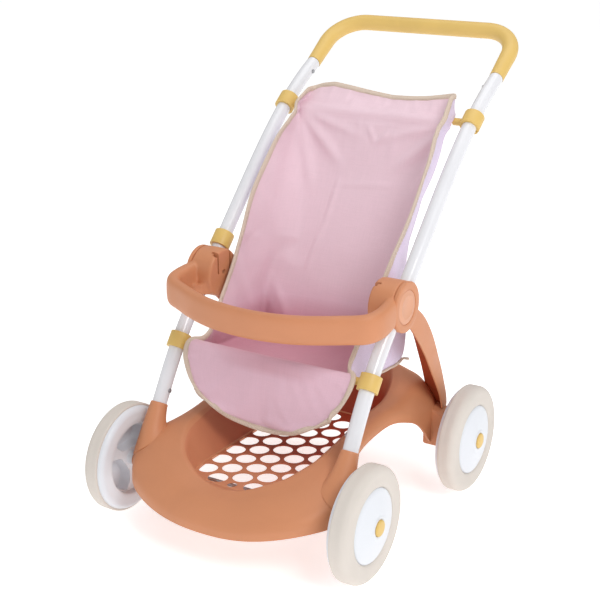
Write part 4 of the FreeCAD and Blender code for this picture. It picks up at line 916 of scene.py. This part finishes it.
def pocket_cutter():
    """Three deep five-sided pockets between three broad spokes, with rounded corners."""
    b = Build()
    for k in range(3):
        a0 = math.radians(120 * k)
        pr = 41.4
        out = [(pr * math.cos(math.radians(d)), pr * math.sin(math.radians(d))) for d in np.linspace(-40.5, 40.5, 15)]
        out += [(23.5, 25.0), (13.2, 15.0), (12.0, 0.0), (13.2, -15.0), (23.5, -25.0)]
        P = np.array([(0.0, y, z) for y, z in out])
        d = [0.0] * len(P)
        for i in (0, 14):
            d[i] = 3.0
        for i in (15, 16, 17, 18, 19):
            d[i] = 4.0
        P = rounded(P, d, n=4, closed=True)
        c = P.mean(0)
        rows = []
        for x, shrink in ((-16.0, 1.0), (-6.0, 1.0), (3.0, 0.97), (6.6, 0.955), (7.8, 0.93), (8.2, 0.89)):
            q = c + (P - c) * shrink
            q[:, 0] = x
            y, z = q[:, 1].copy(), q[:, 2].copy()
            q[:, 1] = y * math.cos(a0) - z * math.sin(a0)
            q[:, 2] = y * math.sin(a0) + z * math.cos(a0)
            rows.append(q)
        b.grid(np.array(rows), closed_u=False, closed_v=True, caps=True)
    return b


tyre_b, rim_b, cap_b = wheel_meshes()
tyre_m = raw(tyre_b, "tyre_master", [TYRE])
auto_smooth(tyre_m, 45)
rim_m = raw(rim_b, "rim_master", [RIM])
cutter = raw(pocket_cutter(), "pocket_cutter", [RIM])
bo = rim_m.modifiers.new("pockets", "BOOLEAN")
bo.operation, bo.solver, bo.object = "DIFFERENCE", "EXACT", cutter
apply_mods(rim_m)
bpy.data.objects.remove(cutter)
bv = rim_m.modifiers.new("edges", "BEVEL")
bv.width, bv.segments, bv.limit_method, bv.angle_limit = 0.0006, 2, "ANGLE", math.radians(50)
bv.harden_normals = False
apply_mods(rim_m)
auto_smooth(rim_m, 35)
cap_m = raw(cap_b, "cap_master", [MUSTARD])
auto_smooth(cap_m, 50)

for end, axle in (("front", AXLE_F), ("rear", AXLE_R)):
    for side, sx in (("left", 1), ("right", -1)):
        body = "%s_%s_wheel" % (end, side)
        spin = {"front_left": 20, "front_right": 93, "rear_left": 65, "rear_right": 40}["%s_%s" % (end, side)]
        for master, tag, slot in ((tyre_m, "tyre", "cream_tyre"), (rim_m, "rim", "white_rim"), (cap_m, "cap", "mustard_plastic")):
            me = master.data.copy()
            M = Matrix.Translation((sx * WHEEL_X / 1000, axle.y, axle.z)) @ Matrix.Rotation(math.radians(spin), 4, "X")
            if sx < 0:
                M = M @ Matrix.Scale(-1, 4, (1, 0, 0))
            me.transform(M)
            if sx < 0:
                me.flip_normals()
            ob = bpy.data.objects.new("%s_%s_detailed" % (body, tag), me)
            bpy.context.scene.collection.objects.link(ob)
            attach(ob, body)
            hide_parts("%s_%s" % (body, tag))
for m in (tyre_m, rim_m, cap_m):
    bpy.data.objects.remove(m)

# ------------------------------------------------------------------ finishes of the CAD nodes that stay
def soften(ob, width, segments):
    """Moulded or rolled edges instead of knife edges."""
    w = ob.modifiers.new("join", "WELD")
    w.merge_threshold = 0.000004
    bv = ob.modifiers.new("edge", "BEVEL")
    bv.width, bv.segments, bv.limit_method, bv.angle_limit = width, segments, "ANGLE", math.radians(42)
    bv.use_clamp_overlap = True
    bv.harden_normals = False


for n, m in (("left_frame_tube", TUBE), ("right_frame_tube", TUBE), ("handle", MUSTARD),
             ("upper_left_clip", MUSTARD), ("upper_right_clip", MUSTARD), ("lower_left_clip", MUSTARD),
             ("lower_right_clip", MUSTARD), ("middle_right_clip", MUSTARD), ("handle_screws", STEEL),
             ("hub_screws", STEEL), ("tube_foot_screws", STEEL), ("axle_push_washers", STEEL),
             ("front_axle", STEEL), ("rear_axle_stubs", STEEL), ("back_rod", STEEL), ("front_rod", STEEL)):
    paint(nodes[n], m)
    if n.endswith("clip"):
        soften(nodes[n], 0.0009, 3)
    elif n in ("handle", "left_frame_tube", "right_frame_tube"):
        soften(nodes[n], 0.0005, 2)
soften(floor_ob, 0.0003, 2)

# ------------------------------------------------------------------ seat cloth
BR = np.array([BACK_ROD.y * 1000 - FY, BACK_ROD.z * 1000])
FR = np.array([FRONT_ROD.y * 1000 - FY, FRONT_ROD.z * 1000])
CENTRE = np.array([(336.0, 480.0), (325.5, 467.0), (BR[0] - 2.6, BR[1] + 0.6), (298.0, 412.0), (275.0, 366.0), (253.0, 324.0),
                   (237.0, 292.0), (226.0, 262.0), (219.0, 236.0), (214.5, 214.0), (211.5, 198.0),
                   (206.0, 186.0), (194.0, 181.5), (164.0, 181.5), (130.0, 184.0), (104.0, 187.5),
                   (88.0, 192.5), (78.0, 199.6), (FR[0] + 2.2, FR[1] + 4.8), (FR[0] - 4.0, FR[1] + 4.2), (FR[0] - 7.0, FR[1] - 1.8)])
EDGE3 = np.array([  # right-hand bound edge from the top corner down to the ear, (x, y, z)
    (101.0, 320.0, 478.5), (102.3, 311.0, 471.5), (103.5, 300.0, 463.0), (104.6, 288.0, 452.0), (106.0, 274.0, 440.0),
    (108.0, 253.5, 420.0), (109.0, 235.0, 400.0), (110.0, 217.0, 380.0), (110.0, 200.0, 360.0), (108.0, 185.0, 340.0),
    (105.0, 170.0, 320.0), (103.0, 155.0, 300.0), (101.0, 139.5, 280.0), (100.0, 123.0, 260.0), (98.5, 106.0, 240.0),
    (97.0, 90.0, 220.0), (98.5, 80.0, 210.5), (103.5, 74.0, 207.5), (109.0, 70.0, 208.0), (113.5, 66.0, 206.5), (115.0, 60.0, 200.0)])
FLAP_SIDE = np.array([(115.0, 60.0, 200.0), (113.7, 55.5, 192.0), (110.7, 53.0, 184.0), (106.7, 51.0, 176.0), (101.6, 49.0, 168.0),
                      (95.0, 47.0, 160.0), (86.7, 45.5, 152.0), (75.6, 44.5, 144.0)])
FLAP_LOW = np.array([(75.6, 44.5, 144.0), (61.0, 45.0, 135.5), (46.5, 48.0, 127.5), (30.0, 52.0, 121.8), (15.0, 54.5, 118.5), (0.0, 55.5, 117.5)])

NW, NB = 26, 46          # columns across one wing, and across half the middle
NR, NFL = 150, 46        # rows down the back and pan, and down the flap


def seat_cloth():
    C = resample(cubic(CENTRE, 600), NR)                     # (y, z)
    E = cubic(EDGE3, 600)
    # each row of the middle is tied to one point of the bound edge
    cs = np.concatenate([[0], np.cumsum(np.linalg.norm(np.diff(C, axis=0), axis=1))]); cs /= cs[-1]
    es = np.concatenate([[0], np.cumsum(np.linalg.norm(np.diff(E, axis=0), axis=1))]); es /= es[-1]

    def c_at(y=None, z=None, lo=0, hi=NR):
        seg = C[lo:hi]
        return cs[lo + int(np.argmin(np.abs(seg[:, 1] - z) if z is not None else np.abs(seg[:, 0] - y)))]

    def e_at(z):
        return es[int(np.argmin(np.abs(E[:, 2] - z)))]
    half = int(NR * 0.62)
    keys_c = [0.0, c_at(z=462, hi=half), c_at(z=420, hi=half), c_at(z=360, hi=half), c_at(z=300, hi=half), c_at(z=250, hi=half),
              c_at(z=205, hi=int(NR * 0.75)), c_at(y=184, lo=half), c_at(y=130, lo=half), c_at(y=96, lo=half), c_at(y=80, lo=half), 1.0]
    keys_e = [0.0, e_at(466), e_at(424), e_at(366), e_at(308), e_at(268), e_at(246), e_at(236), e_at(222), e_at(213.5), e_at(209.5), 1.0]
    c_rod = c_at(z=452, hi=half)
    te = np.interp(cs, keys_c, keys_e)
    Ef = np.stack([np.interp(te, es, E[:, i]) for i in range(3)], 1)
    rows = []
    side_line = []
    for i in range(NR):
        y, z = C[i]
        e = Ef[i]
        # how far this row has a standing wing: full on back and pan, none at the front rod
        gone = np.clip((cs[i] - keys_c[9]) / (1.0 - keys_c[9]), 0, 1)
        wing = 1.0 - gone ** 1.5
        topflat = np.clip(cs[i] / keys_c[1], 0, 1)
        corner = np.array([np.interp(cs[i], [0, keys_c[1], c_rod, keys_c[2], keys_c[3], keys_c[4], keys_c[6], keys_c[8], 1.0],
                                     [102.5, 108.5, 111.5, 108.5, 102.5, 100.5, 104.5, 105.0, 108.0]), y, z])
        straight = 0.5 * (e + np.array([0.0, y, z]))
        corner = corner * wing + np.array([e[0] * 0.93, y * 0.4 + e[1] * 0.6, z * 0.5 + e[2] * 0.5]) * (1 - wing)
        belly = 5.0 * math.sin(math.pi * np.clip((cs[i] - keys_c[2]) / (keys_c[7] - keys_c[2]), 0, 1))
        line = np.array([e, corner, [0.0, y, z]])
        D = np.linalg.norm(e - corner)
        near_rod = math.exp(-((cs[i] - c_rod) / 0.045) ** 2)
        reach = np.interp(cs[i], [keys_c[3], keys_c[4], keys_c[5], keys_c[6], 1.0], [40.0, 30.0, 14.0, 7.0, 7.0])
        d = min(0.85 * D, reach) * (1.0 - 0.84 * near_rod)
        fine = rounded(line, [0, d, 0], n=16)
        fine = resample(fine, 400)
        s = np.concatenate([[0], np.cumsum(np.linalg.norm(np.diff(fine, axis=0), axis=1))])
        # fixed share of columns for the wing, so that columns run along the seam
        kc = int(np.argmin(np.linalg.norm(fine - corner, axis=1)))
        a = resample(fine[:kc + 1], NW + 1)
        b2 = resample(fine[kc:], NB + 1)
        row = np.vstack([a[:-1], b2])
        # the middle hangs back a little between the sides
        w = np.clip(1 - (np.abs(row[:, 0]) / 95.0) ** 2, 0, 1)
        tn = C[min(i + 1, NR - 1)] - C[max(i - 1, 0)]
        tn = tn / np.linalg.norm(tn)
        back = np.array([-tn[1], tn[0]])                # outward: behind the back, below the pan
        row[:, 1] += belly * w * back[0]
        row[:, 2] += belly * w * back[1] * 0.7
        rows.append(row)
        side_line.append(row[NW])
    upper = np.array(rows)                                # (NR, NW+NB+1, 3) edge -> centre
    c455 = c_at(z=457, hi=half)
    # flap: patch between the rod row, the two bound sides and the bound bottom
    ncol = NW + NB + 1
    top_row = upper[-1]
    side = resample(cubic(FLAP_SIDE, 200), NFL)
    low = resample(cubic(FLAP_LOW, 200), ncol)
    sv = np.concatenate([[0], np.cumsum(np.linalg.norm(np.diff(top_row, axis=0), axis=1))]); sv /= sv[-1]
    low = np.stack([np.interp(sv, np.linspace(0, 1, ncol), low[:, i]) for i in range(3)], 1)
    centre_line = cubic(np.array([(0, top_row[-1, 1], top_row[-1, 2]), (0, 59.0, 186), (0, 56.5, 168), (0, 54.5, 150), (0, 54.5, 134), (0, 55.5, 117.5)], float), NFL)
    flap = np.zeros((NFL, ncol, 3))
    for k in range(NFL):
        t = k / (NFL - 1)
        for i in range(3):
            ru = (1 - t) * top_row[:, i] + t * low[:, i]
            rv = (1 - sv) * side[k, i] + sv * centre_line[k, i]
            cor = (1 - t) * ((1 - sv) * top_row[0, i] + sv * top_row[-1, i]) + t * ((1 - sv) * low[0, i] + sv * low[-1, i])
            flap[k, :, i] = ru + rv - cor
    # the flap bellies forward softly
    t = np.linspace(0, 1, NFL)[:, None]
    flap[..., 1] -= 5.0 * np.sin(math.pi * t) ** 1.2 * np.sin(math.pi * np.clip(sv, 0, 1) * 0.85 + 0.25) ** 2
    right = np.concatenate([upper, flap[1:]], 0)
    left = right[:, ::-1].copy()
    left[..., 0] *= -1
    full = np.concatenate([right, left[:, 1:]], 1)
    # the top hem droops unevenly between its corners
    tx = np.array([-107, -96, -88, -70, -45, -15, 14, 40, 62, 85, 99, 107], float)
    tz = np.array([472, 475, 478, 481, 478, 474, 471, 472, 474, 478, 481, 480], float)
    z_top = np.interp(full[0, :, 0], tx, tz)
    rise = np.clip(1 - cs / c455, 0, 1)[:, None]
    full[:NR, :, 2] += rise * (z_top - full[0, :, 2])[None, :]
    return full, C, cs


cloth_P, C_line, C_s = seat_cloth()
nrow, ncolf = cloth_P.shape[:2]


def ruffle(P):
    """Sewn-in fullness, pressed folds and pulls that the cloth keeps whatever it hangs from."""
    P = P.copy()
    # surface normals
    du = np.gradient(P, axis=1); dv = np.gradient(P, axis=0)
    N = np.cross(du, dv)
    N /= np.linalg.norm(N, axis=2, keepdims=True) + 1e-9
    X, Y, Z = P[..., 0], P[..., 1], P[..., 2]
    h = np.zeros(P.shape[:2])
    back = (Z > 215) & (Y > 150)
    rows = np.arange(nrow)[:, None] * np.ones((1, ncolf))

    def ridge(x0, z0, x1, z1, width, height, soft=18.0):
        """A fold along the line from (x0, z0) to (x1, z1) on the back panel, fading at its ends."""
        dx, dz = x1 - x0, z1 - z0
        L = math.hypot(dx, dz)
        s = ((X - x0) * dx + (Z - z0) * dz) / L
        d = ((X - x0) * dz - (Z - z0) * dx) / L
        fade = 1 / (1 + np.exp(-(s - 4) / soft * 4)) * 1 / (1 + np.exp((s - L + 4) / soft * 4))
        return height * np.exp(-(d / width) ** 2) * fade
    bp = np.where((Y > C_line[:, 0].min()) & (Z > 205) & (rows < NR), 1.0, 0.0)
    h += bp * ridge(-34, 372, -40, 318, 3.4, 2.3)
    h += bp * ridge(-40, 318, -52, 262, 3.8, 2.1)
    h += bp * ridge(-34, 366, 40, 372, 2.6, 1.1)
    # pulls running in from the clips at the top corners
    for sx in (1, -1):
        h += bp * ridge(sx * 106, 447, sx * 40, 392, 7.0, 5.2, 26)
        h += bp * ridge(sx * 106, 442, sx * 72, 362, 7.0, 4.4, 26)
        h += bp * ridge(sx * 106, 449, sx * 14, 424, 5.0, 3.0, 26)
    # rod bulge in the top channel and its two stitch lines
    zr = BR[1]
    h += bp * (1.9 * np.exp(-((Z - zr) / 3.4) ** 2) - 0.9 * np.exp(-((Z - zr - 8) / 1.6) ** 2) - 0.9 * np.exp(-((Z - zr + 8) / 1.6) ** 2))
    # a short crossed wrinkle below the channel, and the crease behind the front rod
    h += bp * (ridge(-6, 438, 8, 416, 3.0, 2.6, 8) + ridge(26, 436, 8, 416, 3.0, 2.6, 8))
    pan = np.where((rows > NR * 0.6) & (rows < NR) & (Y < 110), 1.0, 0.0)
    h -= pan * 2.4 * np.exp(-((Y - 85.0 - 0.06 * (X + 60)) / 3.2) ** 2) * np.clip(1 - np.abs(X + 40) / 70.0, 0, 1)
    # folds in the flap
    fl = np.where(rows >= NR - 2, 1.0, 0.0)
    h += fl * (1.1 * np.sin(X / 17.0 + Z / 23.0) * np.clip((200 - Z) / 40.0, 0, 1) * np.clip((Z - 118) / 30.0, 0, 1))
    return P + N * h[..., None], N


cloth_P, cloth_N = ruffle(cloth_P)
rng = np.random.default_rng(7)


def cloth_object(P):
    nr, nc = P.shape[:2]
    u = np.concatenate([[0], np.cumsum(np.linalg.norm(np.diff(P[nr // 2], axis=0), axis=1))])
    v = np.concatenate([[0], np.cumsum(np.linalg.norm(np.diff(P[:, nc // 2], axis=0), axis=1))])
    UV = np.stack(np.meshgrid(u, v), -1).reshape(-1, 2) / 1000.0
    faces = grid_faces(nr, nc, False, False)
    return make_object("seat_cloth", W(P.reshape(-1, 3)), faces, [LILAC, PINK], uv=UV)


seat = cloth_object(cloth_P)


def simulate(P):
    """Cloth settles on a coarse copy of the grid; the fine grid takes over its movement."""
    nr, nc = P.shape[:2]
    ri = np.unique(np.round(np.linspace(0, nr - 1, 74)).astype(int))
    ci = np.unique(np.round(np.linspace(0, nc - 1, 55)).astype(int))
    w = np.zeros((nr, nc))
    w[:, :1] = 1; w[:, -1:] = 1; w[0] = 1; w[-1] = 1
    zr = BR[1]
    rows = np.arange(nr)[:, None] * np.ones((1, nc))
    w[(np.abs(P[..., 2] - zr) < 5.0) & (rows < NR)] = 1.0
    w[(np.hypot(P[..., 1] - FR[0], P[..., 2] - FR[1]) < 8.0)] = 1.0
    for c in (NW - 1, NW, NW + 1, nc - 2 - NW, nc - 1 - NW, nc - NW):
        w[int(NR * 0.45):NR, c] = np.maximum(w[int(NR * 0.45):NR, c], 0.6)
    Pc, wc = P[np.ix_(ri, ci)], w[np.ix_(ri, ci)]
    old = W(Pc.reshape(-1, 3))
    ob = make_object("cloth_coarse", old, grid_faces(len(ri), len(ci), False, False), [])
    pin = ob.vertex_groups.new(name="pin")
    idx = np.arange(len(ri) * len(ci)).reshape(len(ri), len(ci))
    for val in np.unique(wc):
        if val > 0:
            pin.add([int(i) for i in idx[wc == val]], float(val), "REPLACE")
    cl = ob.modifiers.new("hang", "CLOTH")
    st = cl.settings
    st.quality = 8
    st.mass = 0.16
    st.tension_stiffness = st.compression_stiffness = 18
    st.shear_stiffness = 6
    st.bending_stiffness = 0.12
    st.vertex_group_mass = "pin"
    st.shrink_min = -0.016
    st.shrink_max = -0.016
    st.air_damping = 3.0
    cl.collision_settings.use_collision = False
    cl.collision_settings.use_self_collision = False
    sc = bpy.context.scene
    sc.frame_start, sc.frame_end = 1, 40
    cl.point_cache.frame_start, cl.point_cache.frame_end = 1, 40
    for f in range(1, 31):
        sc.frame_set(f)
    dg = bpy.context.evaluated_depsgraph_get()
    ev = ob.evaluated_get(dg)
    co = np.zeros(len(ev.data.vertices) * 3, np.float32)
    ev.data.vertices.foreach_get("co", co)
    d = co.reshape(-1, 3).astype(float) - old
    l = np.linalg.norm(d, axis=1, keepdims=True)
    cap = 0.007
    d *= cap * np.tanh(l / cap) / np.maximum(l, 1e-9)
    d = d.reshape(len(ri), len(ci), 3)
    bpy.data.objects.remove(ob)
    sc.frame_set(1)
    # carry the movement to every row and column
    fine_r = np.stack([np.stack([np.interp(np.arange(nr), ri, d[:, j, k]) for k in range(3)], 1) for j in range(len(ci))], 1)
    fine = np.stack([np.stack([np.interp(np.arange(nc), ci, fine_r[i, :, k]) for k in range(3)], 1) for i in range(nr)], 0)
    for _ in range(2):
        fine[1:-1] = (fine[:-2] + 2 * fine[1:-1] + fine[2:]) / 4
        fine[:, 1:-1] = (fine[:, :-2] + 2 * fine[:, 1:-1] + fine[:, 2:]) / 4
    # what crosses a rod stays clear of it
    P2 = W(P) + fine
    for (ry, rz), lo_i, hi_i in ((BR, 0, NR // 2), (FR, NR // 2, nr)):
        q = P2[lo_i:hi_i] * 1000.0
        dy, dz = q[..., 1] - FY - ry, q[..., 2] - rz
        r = np.hypot(dy, dz)
        near = r < 3.2
        q[..., 1] = np.where(near, FY + ry + dy / np.maximum(r, 1e-6) * 3.2, q[..., 1])
        q[..., 2] = np.where(near, rz + dz / np.maximum(r, 1e-6) * 3.2, q[..., 2])
        P2[lo_i:hi_i] = q / 1000.0
    print("CLOTH moved mm: mean %.2f max %.2f" % (float(np.linalg.norm(fine, axis=-1).mean() * 1000), float(np.linalg.norm(fine, axis=-1).max() * 1000)))
    return P2


cloth_W = simulate(cloth_P)
seat.data.vertices.foreach_set("co", cloth_W.reshape(-1).astype(np.float32))
seat.data.update()
sol = seat.modifiers.new("thick", "SOLIDIFY")
sol.thickness = 0.0011
sol.offset = 0.0
sol.material_offset = 1
sol.material_offset_rim = 0
apply_mods(seat)
seat.data.polygons.foreach_set("use_smooth", [True] * len(seat.data.polygons))
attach(seat, "frame")
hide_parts("seat_fabric")


# bound edge: a folded tape round the whole outline
def binding():
    Wm = cloth_W * 1000.0
    right = Wm[:, 0]
    left = Wm[:, -1]
    top_e = Wm[0]
    low_e = Wm[-1]
    loop = np.vstack([top_e[::-1][:-1], right[:-1], low_e[:-1], left[::-1][:-1]])
    inward = np.vstack([(Wm[2] - Wm[0])[::-1][:-1], (Wm[:, 2] - Wm[:, 0])[:-1], (Wm[-3] - Wm[-1])[:-1], (Wm[:, -3] - Wm[:, -1])[::-1][:-1]])
    n = 700
    s = np.concatenate([[0], np.cumsum(np.linalg.norm(np.diff(np.vstack([loop, loop[:1]]), axis=0), axis=1))])
    T = np.arange(n) * s[-1] / n
    L = np.stack([np.interp(T, s, np.append(loop[:, i], loop[0, i])) for i in range(3)], 1)
    U = np.stack([np.interp(T, s, np.append(inward[:, i], inward[0, i])) for i in range(3)], 1)
    for _ in range(3):
        L = (np.roll(L, 1, 0) + 2 * L + np.roll(L, -1, 0)) / 4
    U /= np.linalg.norm(U, axis=1, keepdims=True)
    run = np.roll(L, -1, 0) - np.roll(L, 1, 0)
    run /= np.linalg.norm(run, axis=1, keepdims=True)
    for _ in range(40):
        U = (np.roll(U, 1, 0) + 2 * U + np.roll(U, -1, 0)) / 4
        U -= run * (U * run).sum(1, keepdims=True)
        U /= np.linalg.norm(U, axis=1, keepdims=True)
    L = L + U * 1.2
    sec = ellipse(3.3, 1.9, 16, 2.5)
    rings = tube_rings(L, sec, closed=True, up=U)
    me_v = rings.reshape(-1, 3) / 1000.0
    ob = make_object("seat_binding", me_v, grid_faces(n, len(sec), True, True), [BINDING])
    tidy(ob)
    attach(ob, "frame")
    # a row of stitches along the tape
    st = Build()
    step = 4.2
    total = s[-1]
    count = int(total / step)
    V = np.cross(np.gradient(L, axis=0), U)
    V /= np.linalg.norm(V, axis=1, keepdims=True)
    for side in (1, -1):
        for k in range(count):
            i0 = int(k / count * n)
            i1 = int((k + 0.62) / count * n) % n
            if i1 <= i0:
                continue
            seg = np.arange(i0, i1 + 1) % n
            p = L[seg] + U[seg] * 2.0 + V[seg] * (1.72 * side)
            if len(p) < 2:
                continue
            p = resample(p, 4)
            st.grid(tube_rings(p, ellipse(0.26, 0.26, 6)), closed_u=False, closed_v=True, caps=True)
    so = make_object("seat_binding_stitches", np.array(st.v) / 1000.0, st.f, [THREAD])
    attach(so, "frame")
    return ob, so, n


bind_ob, stitch_ob, _n = binding()


# piped seam under each side gore, with its loose tail behind
def gore_seams():
    b = Build()
    Wm = cloth_W * 1000.0
    for c, sx in ((NW, 1), (Wm.shape[1] - 1 - NW, -1)):
        i0 = int(np.argmin(np.hypot(C_line[:, 0] - 202.0, C_line[:, 1] - 184.0)))
        i1 = NR - 6
        line = Wm[i0:i1, c].copy()
        line[:, 0] += sx * 2.4
        line[:, 2] -= 0.8
        tail = line[0] + np.array([sx * 6.5, 3.5, -0.8])
        line = np.vstack([tail, line])
        line = resample(cubic(resample(line, 18), 120), 120)
        b.grid(tube_rings(line, ellipse(2.3, 1.5, 12), up=np.array([float(sx), 0, 0.25])), closed_u=False, closed_v=True, caps=True)
    ob = make_object("seat_gore_piping", np.array(b.v) / 1000.0, b.f, [BINDING])
    tidy(ob)
    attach(ob, "frame")
    return ob


pipe_ob = gore_seams()

# ------------------------------------------------------------------ floor, light, camera
fl = make_object("floor", [(-25, -25, 0), (25, -25, 0), (25, 25, 0), (-25, 25, 0)], [(0, 1, 2, 3)], [])
fm = Mat("pale_floor")
fm.to("Base Color", fm.mix(fm.remap(fm.noise(2.0), 0.3, 0.7, 0, 1), (0.90, 0.90, 0.90, 1), (0.92, 0.92, 0.92, 1)))
fm.set(Roughness=0.7, Specular_IOR_Level=0.1, Emission_Color=(1.0, 1.0, 1.0, 1.0), Emission_Strength=0.56)
fl.data.materials.append(fm.m)
fl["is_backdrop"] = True

world = bpy.data.worlds.new("studio")
bpy.context.scene.world = world
world.use_nodes = True
world.node_tree.nodes["Background"].inputs[0].default_value = (1.0, 1.0, 1.0, 1)
world.node_tree.nodes["Background"].inputs[1].default_value = 0.5


def area(name, loc, target, size, power, colour=(1, 1, 1)):
    d = bpy.data.lights.new(name, "AREA")
    d.shape, d.size, d.energy, d.color = "DISK", size, power, colour
    o = bpy.data.objects.new(name, d)
    bpy.context.scene.collection.objects.link(o)
    o.location = loc
    o.rotation_euler = (Vector(target) - Vector(loc)).to_track_quat("-Z", "Y").to_euler()


area("key", (1.5, -0.9, 1.7), (0, 0, 0.25), 0.9, 18)
area("fill", (-1.5, -1.6, 1.1), (0, 0, 0.25), 1.6, 2.5)
area("top", (0.1, 0.4, 2.2), (0, 0, 0.2), 1.8, 12)

bpy.context.scene.view_settings.view_transform = "Standard"

AZ, EL, DIST = math.radians(31.51), math.radians(18.61), 1.53693
target = Vector((-0.00024, (134.95 + FY) / 1000.0, 0.25647))
back = Vector((math.sin(AZ) * math.cos(EL), -math.cos(AZ) * math.cos(EL), math.sin(EL)))
cam_d = bpy.data.cameras.new("camera")
cam = bpy.data.objects.new("camera", cam_d)
bpy.context.scene.collection.objects.link(cam)
cam_d.lens, cam_d.sensor_width = 77.51, 36.0
cam.location = target + back * DIST
cam.rotation_mode = "QUATERNION"
cam.rotation_quaternion = (-back).to_track_quat("-Z", "Y")
bpy.context.scene.camera = cam
cam_d.clip_start, cam_d.clip_end = 0.05, 60.0

lo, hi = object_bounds()
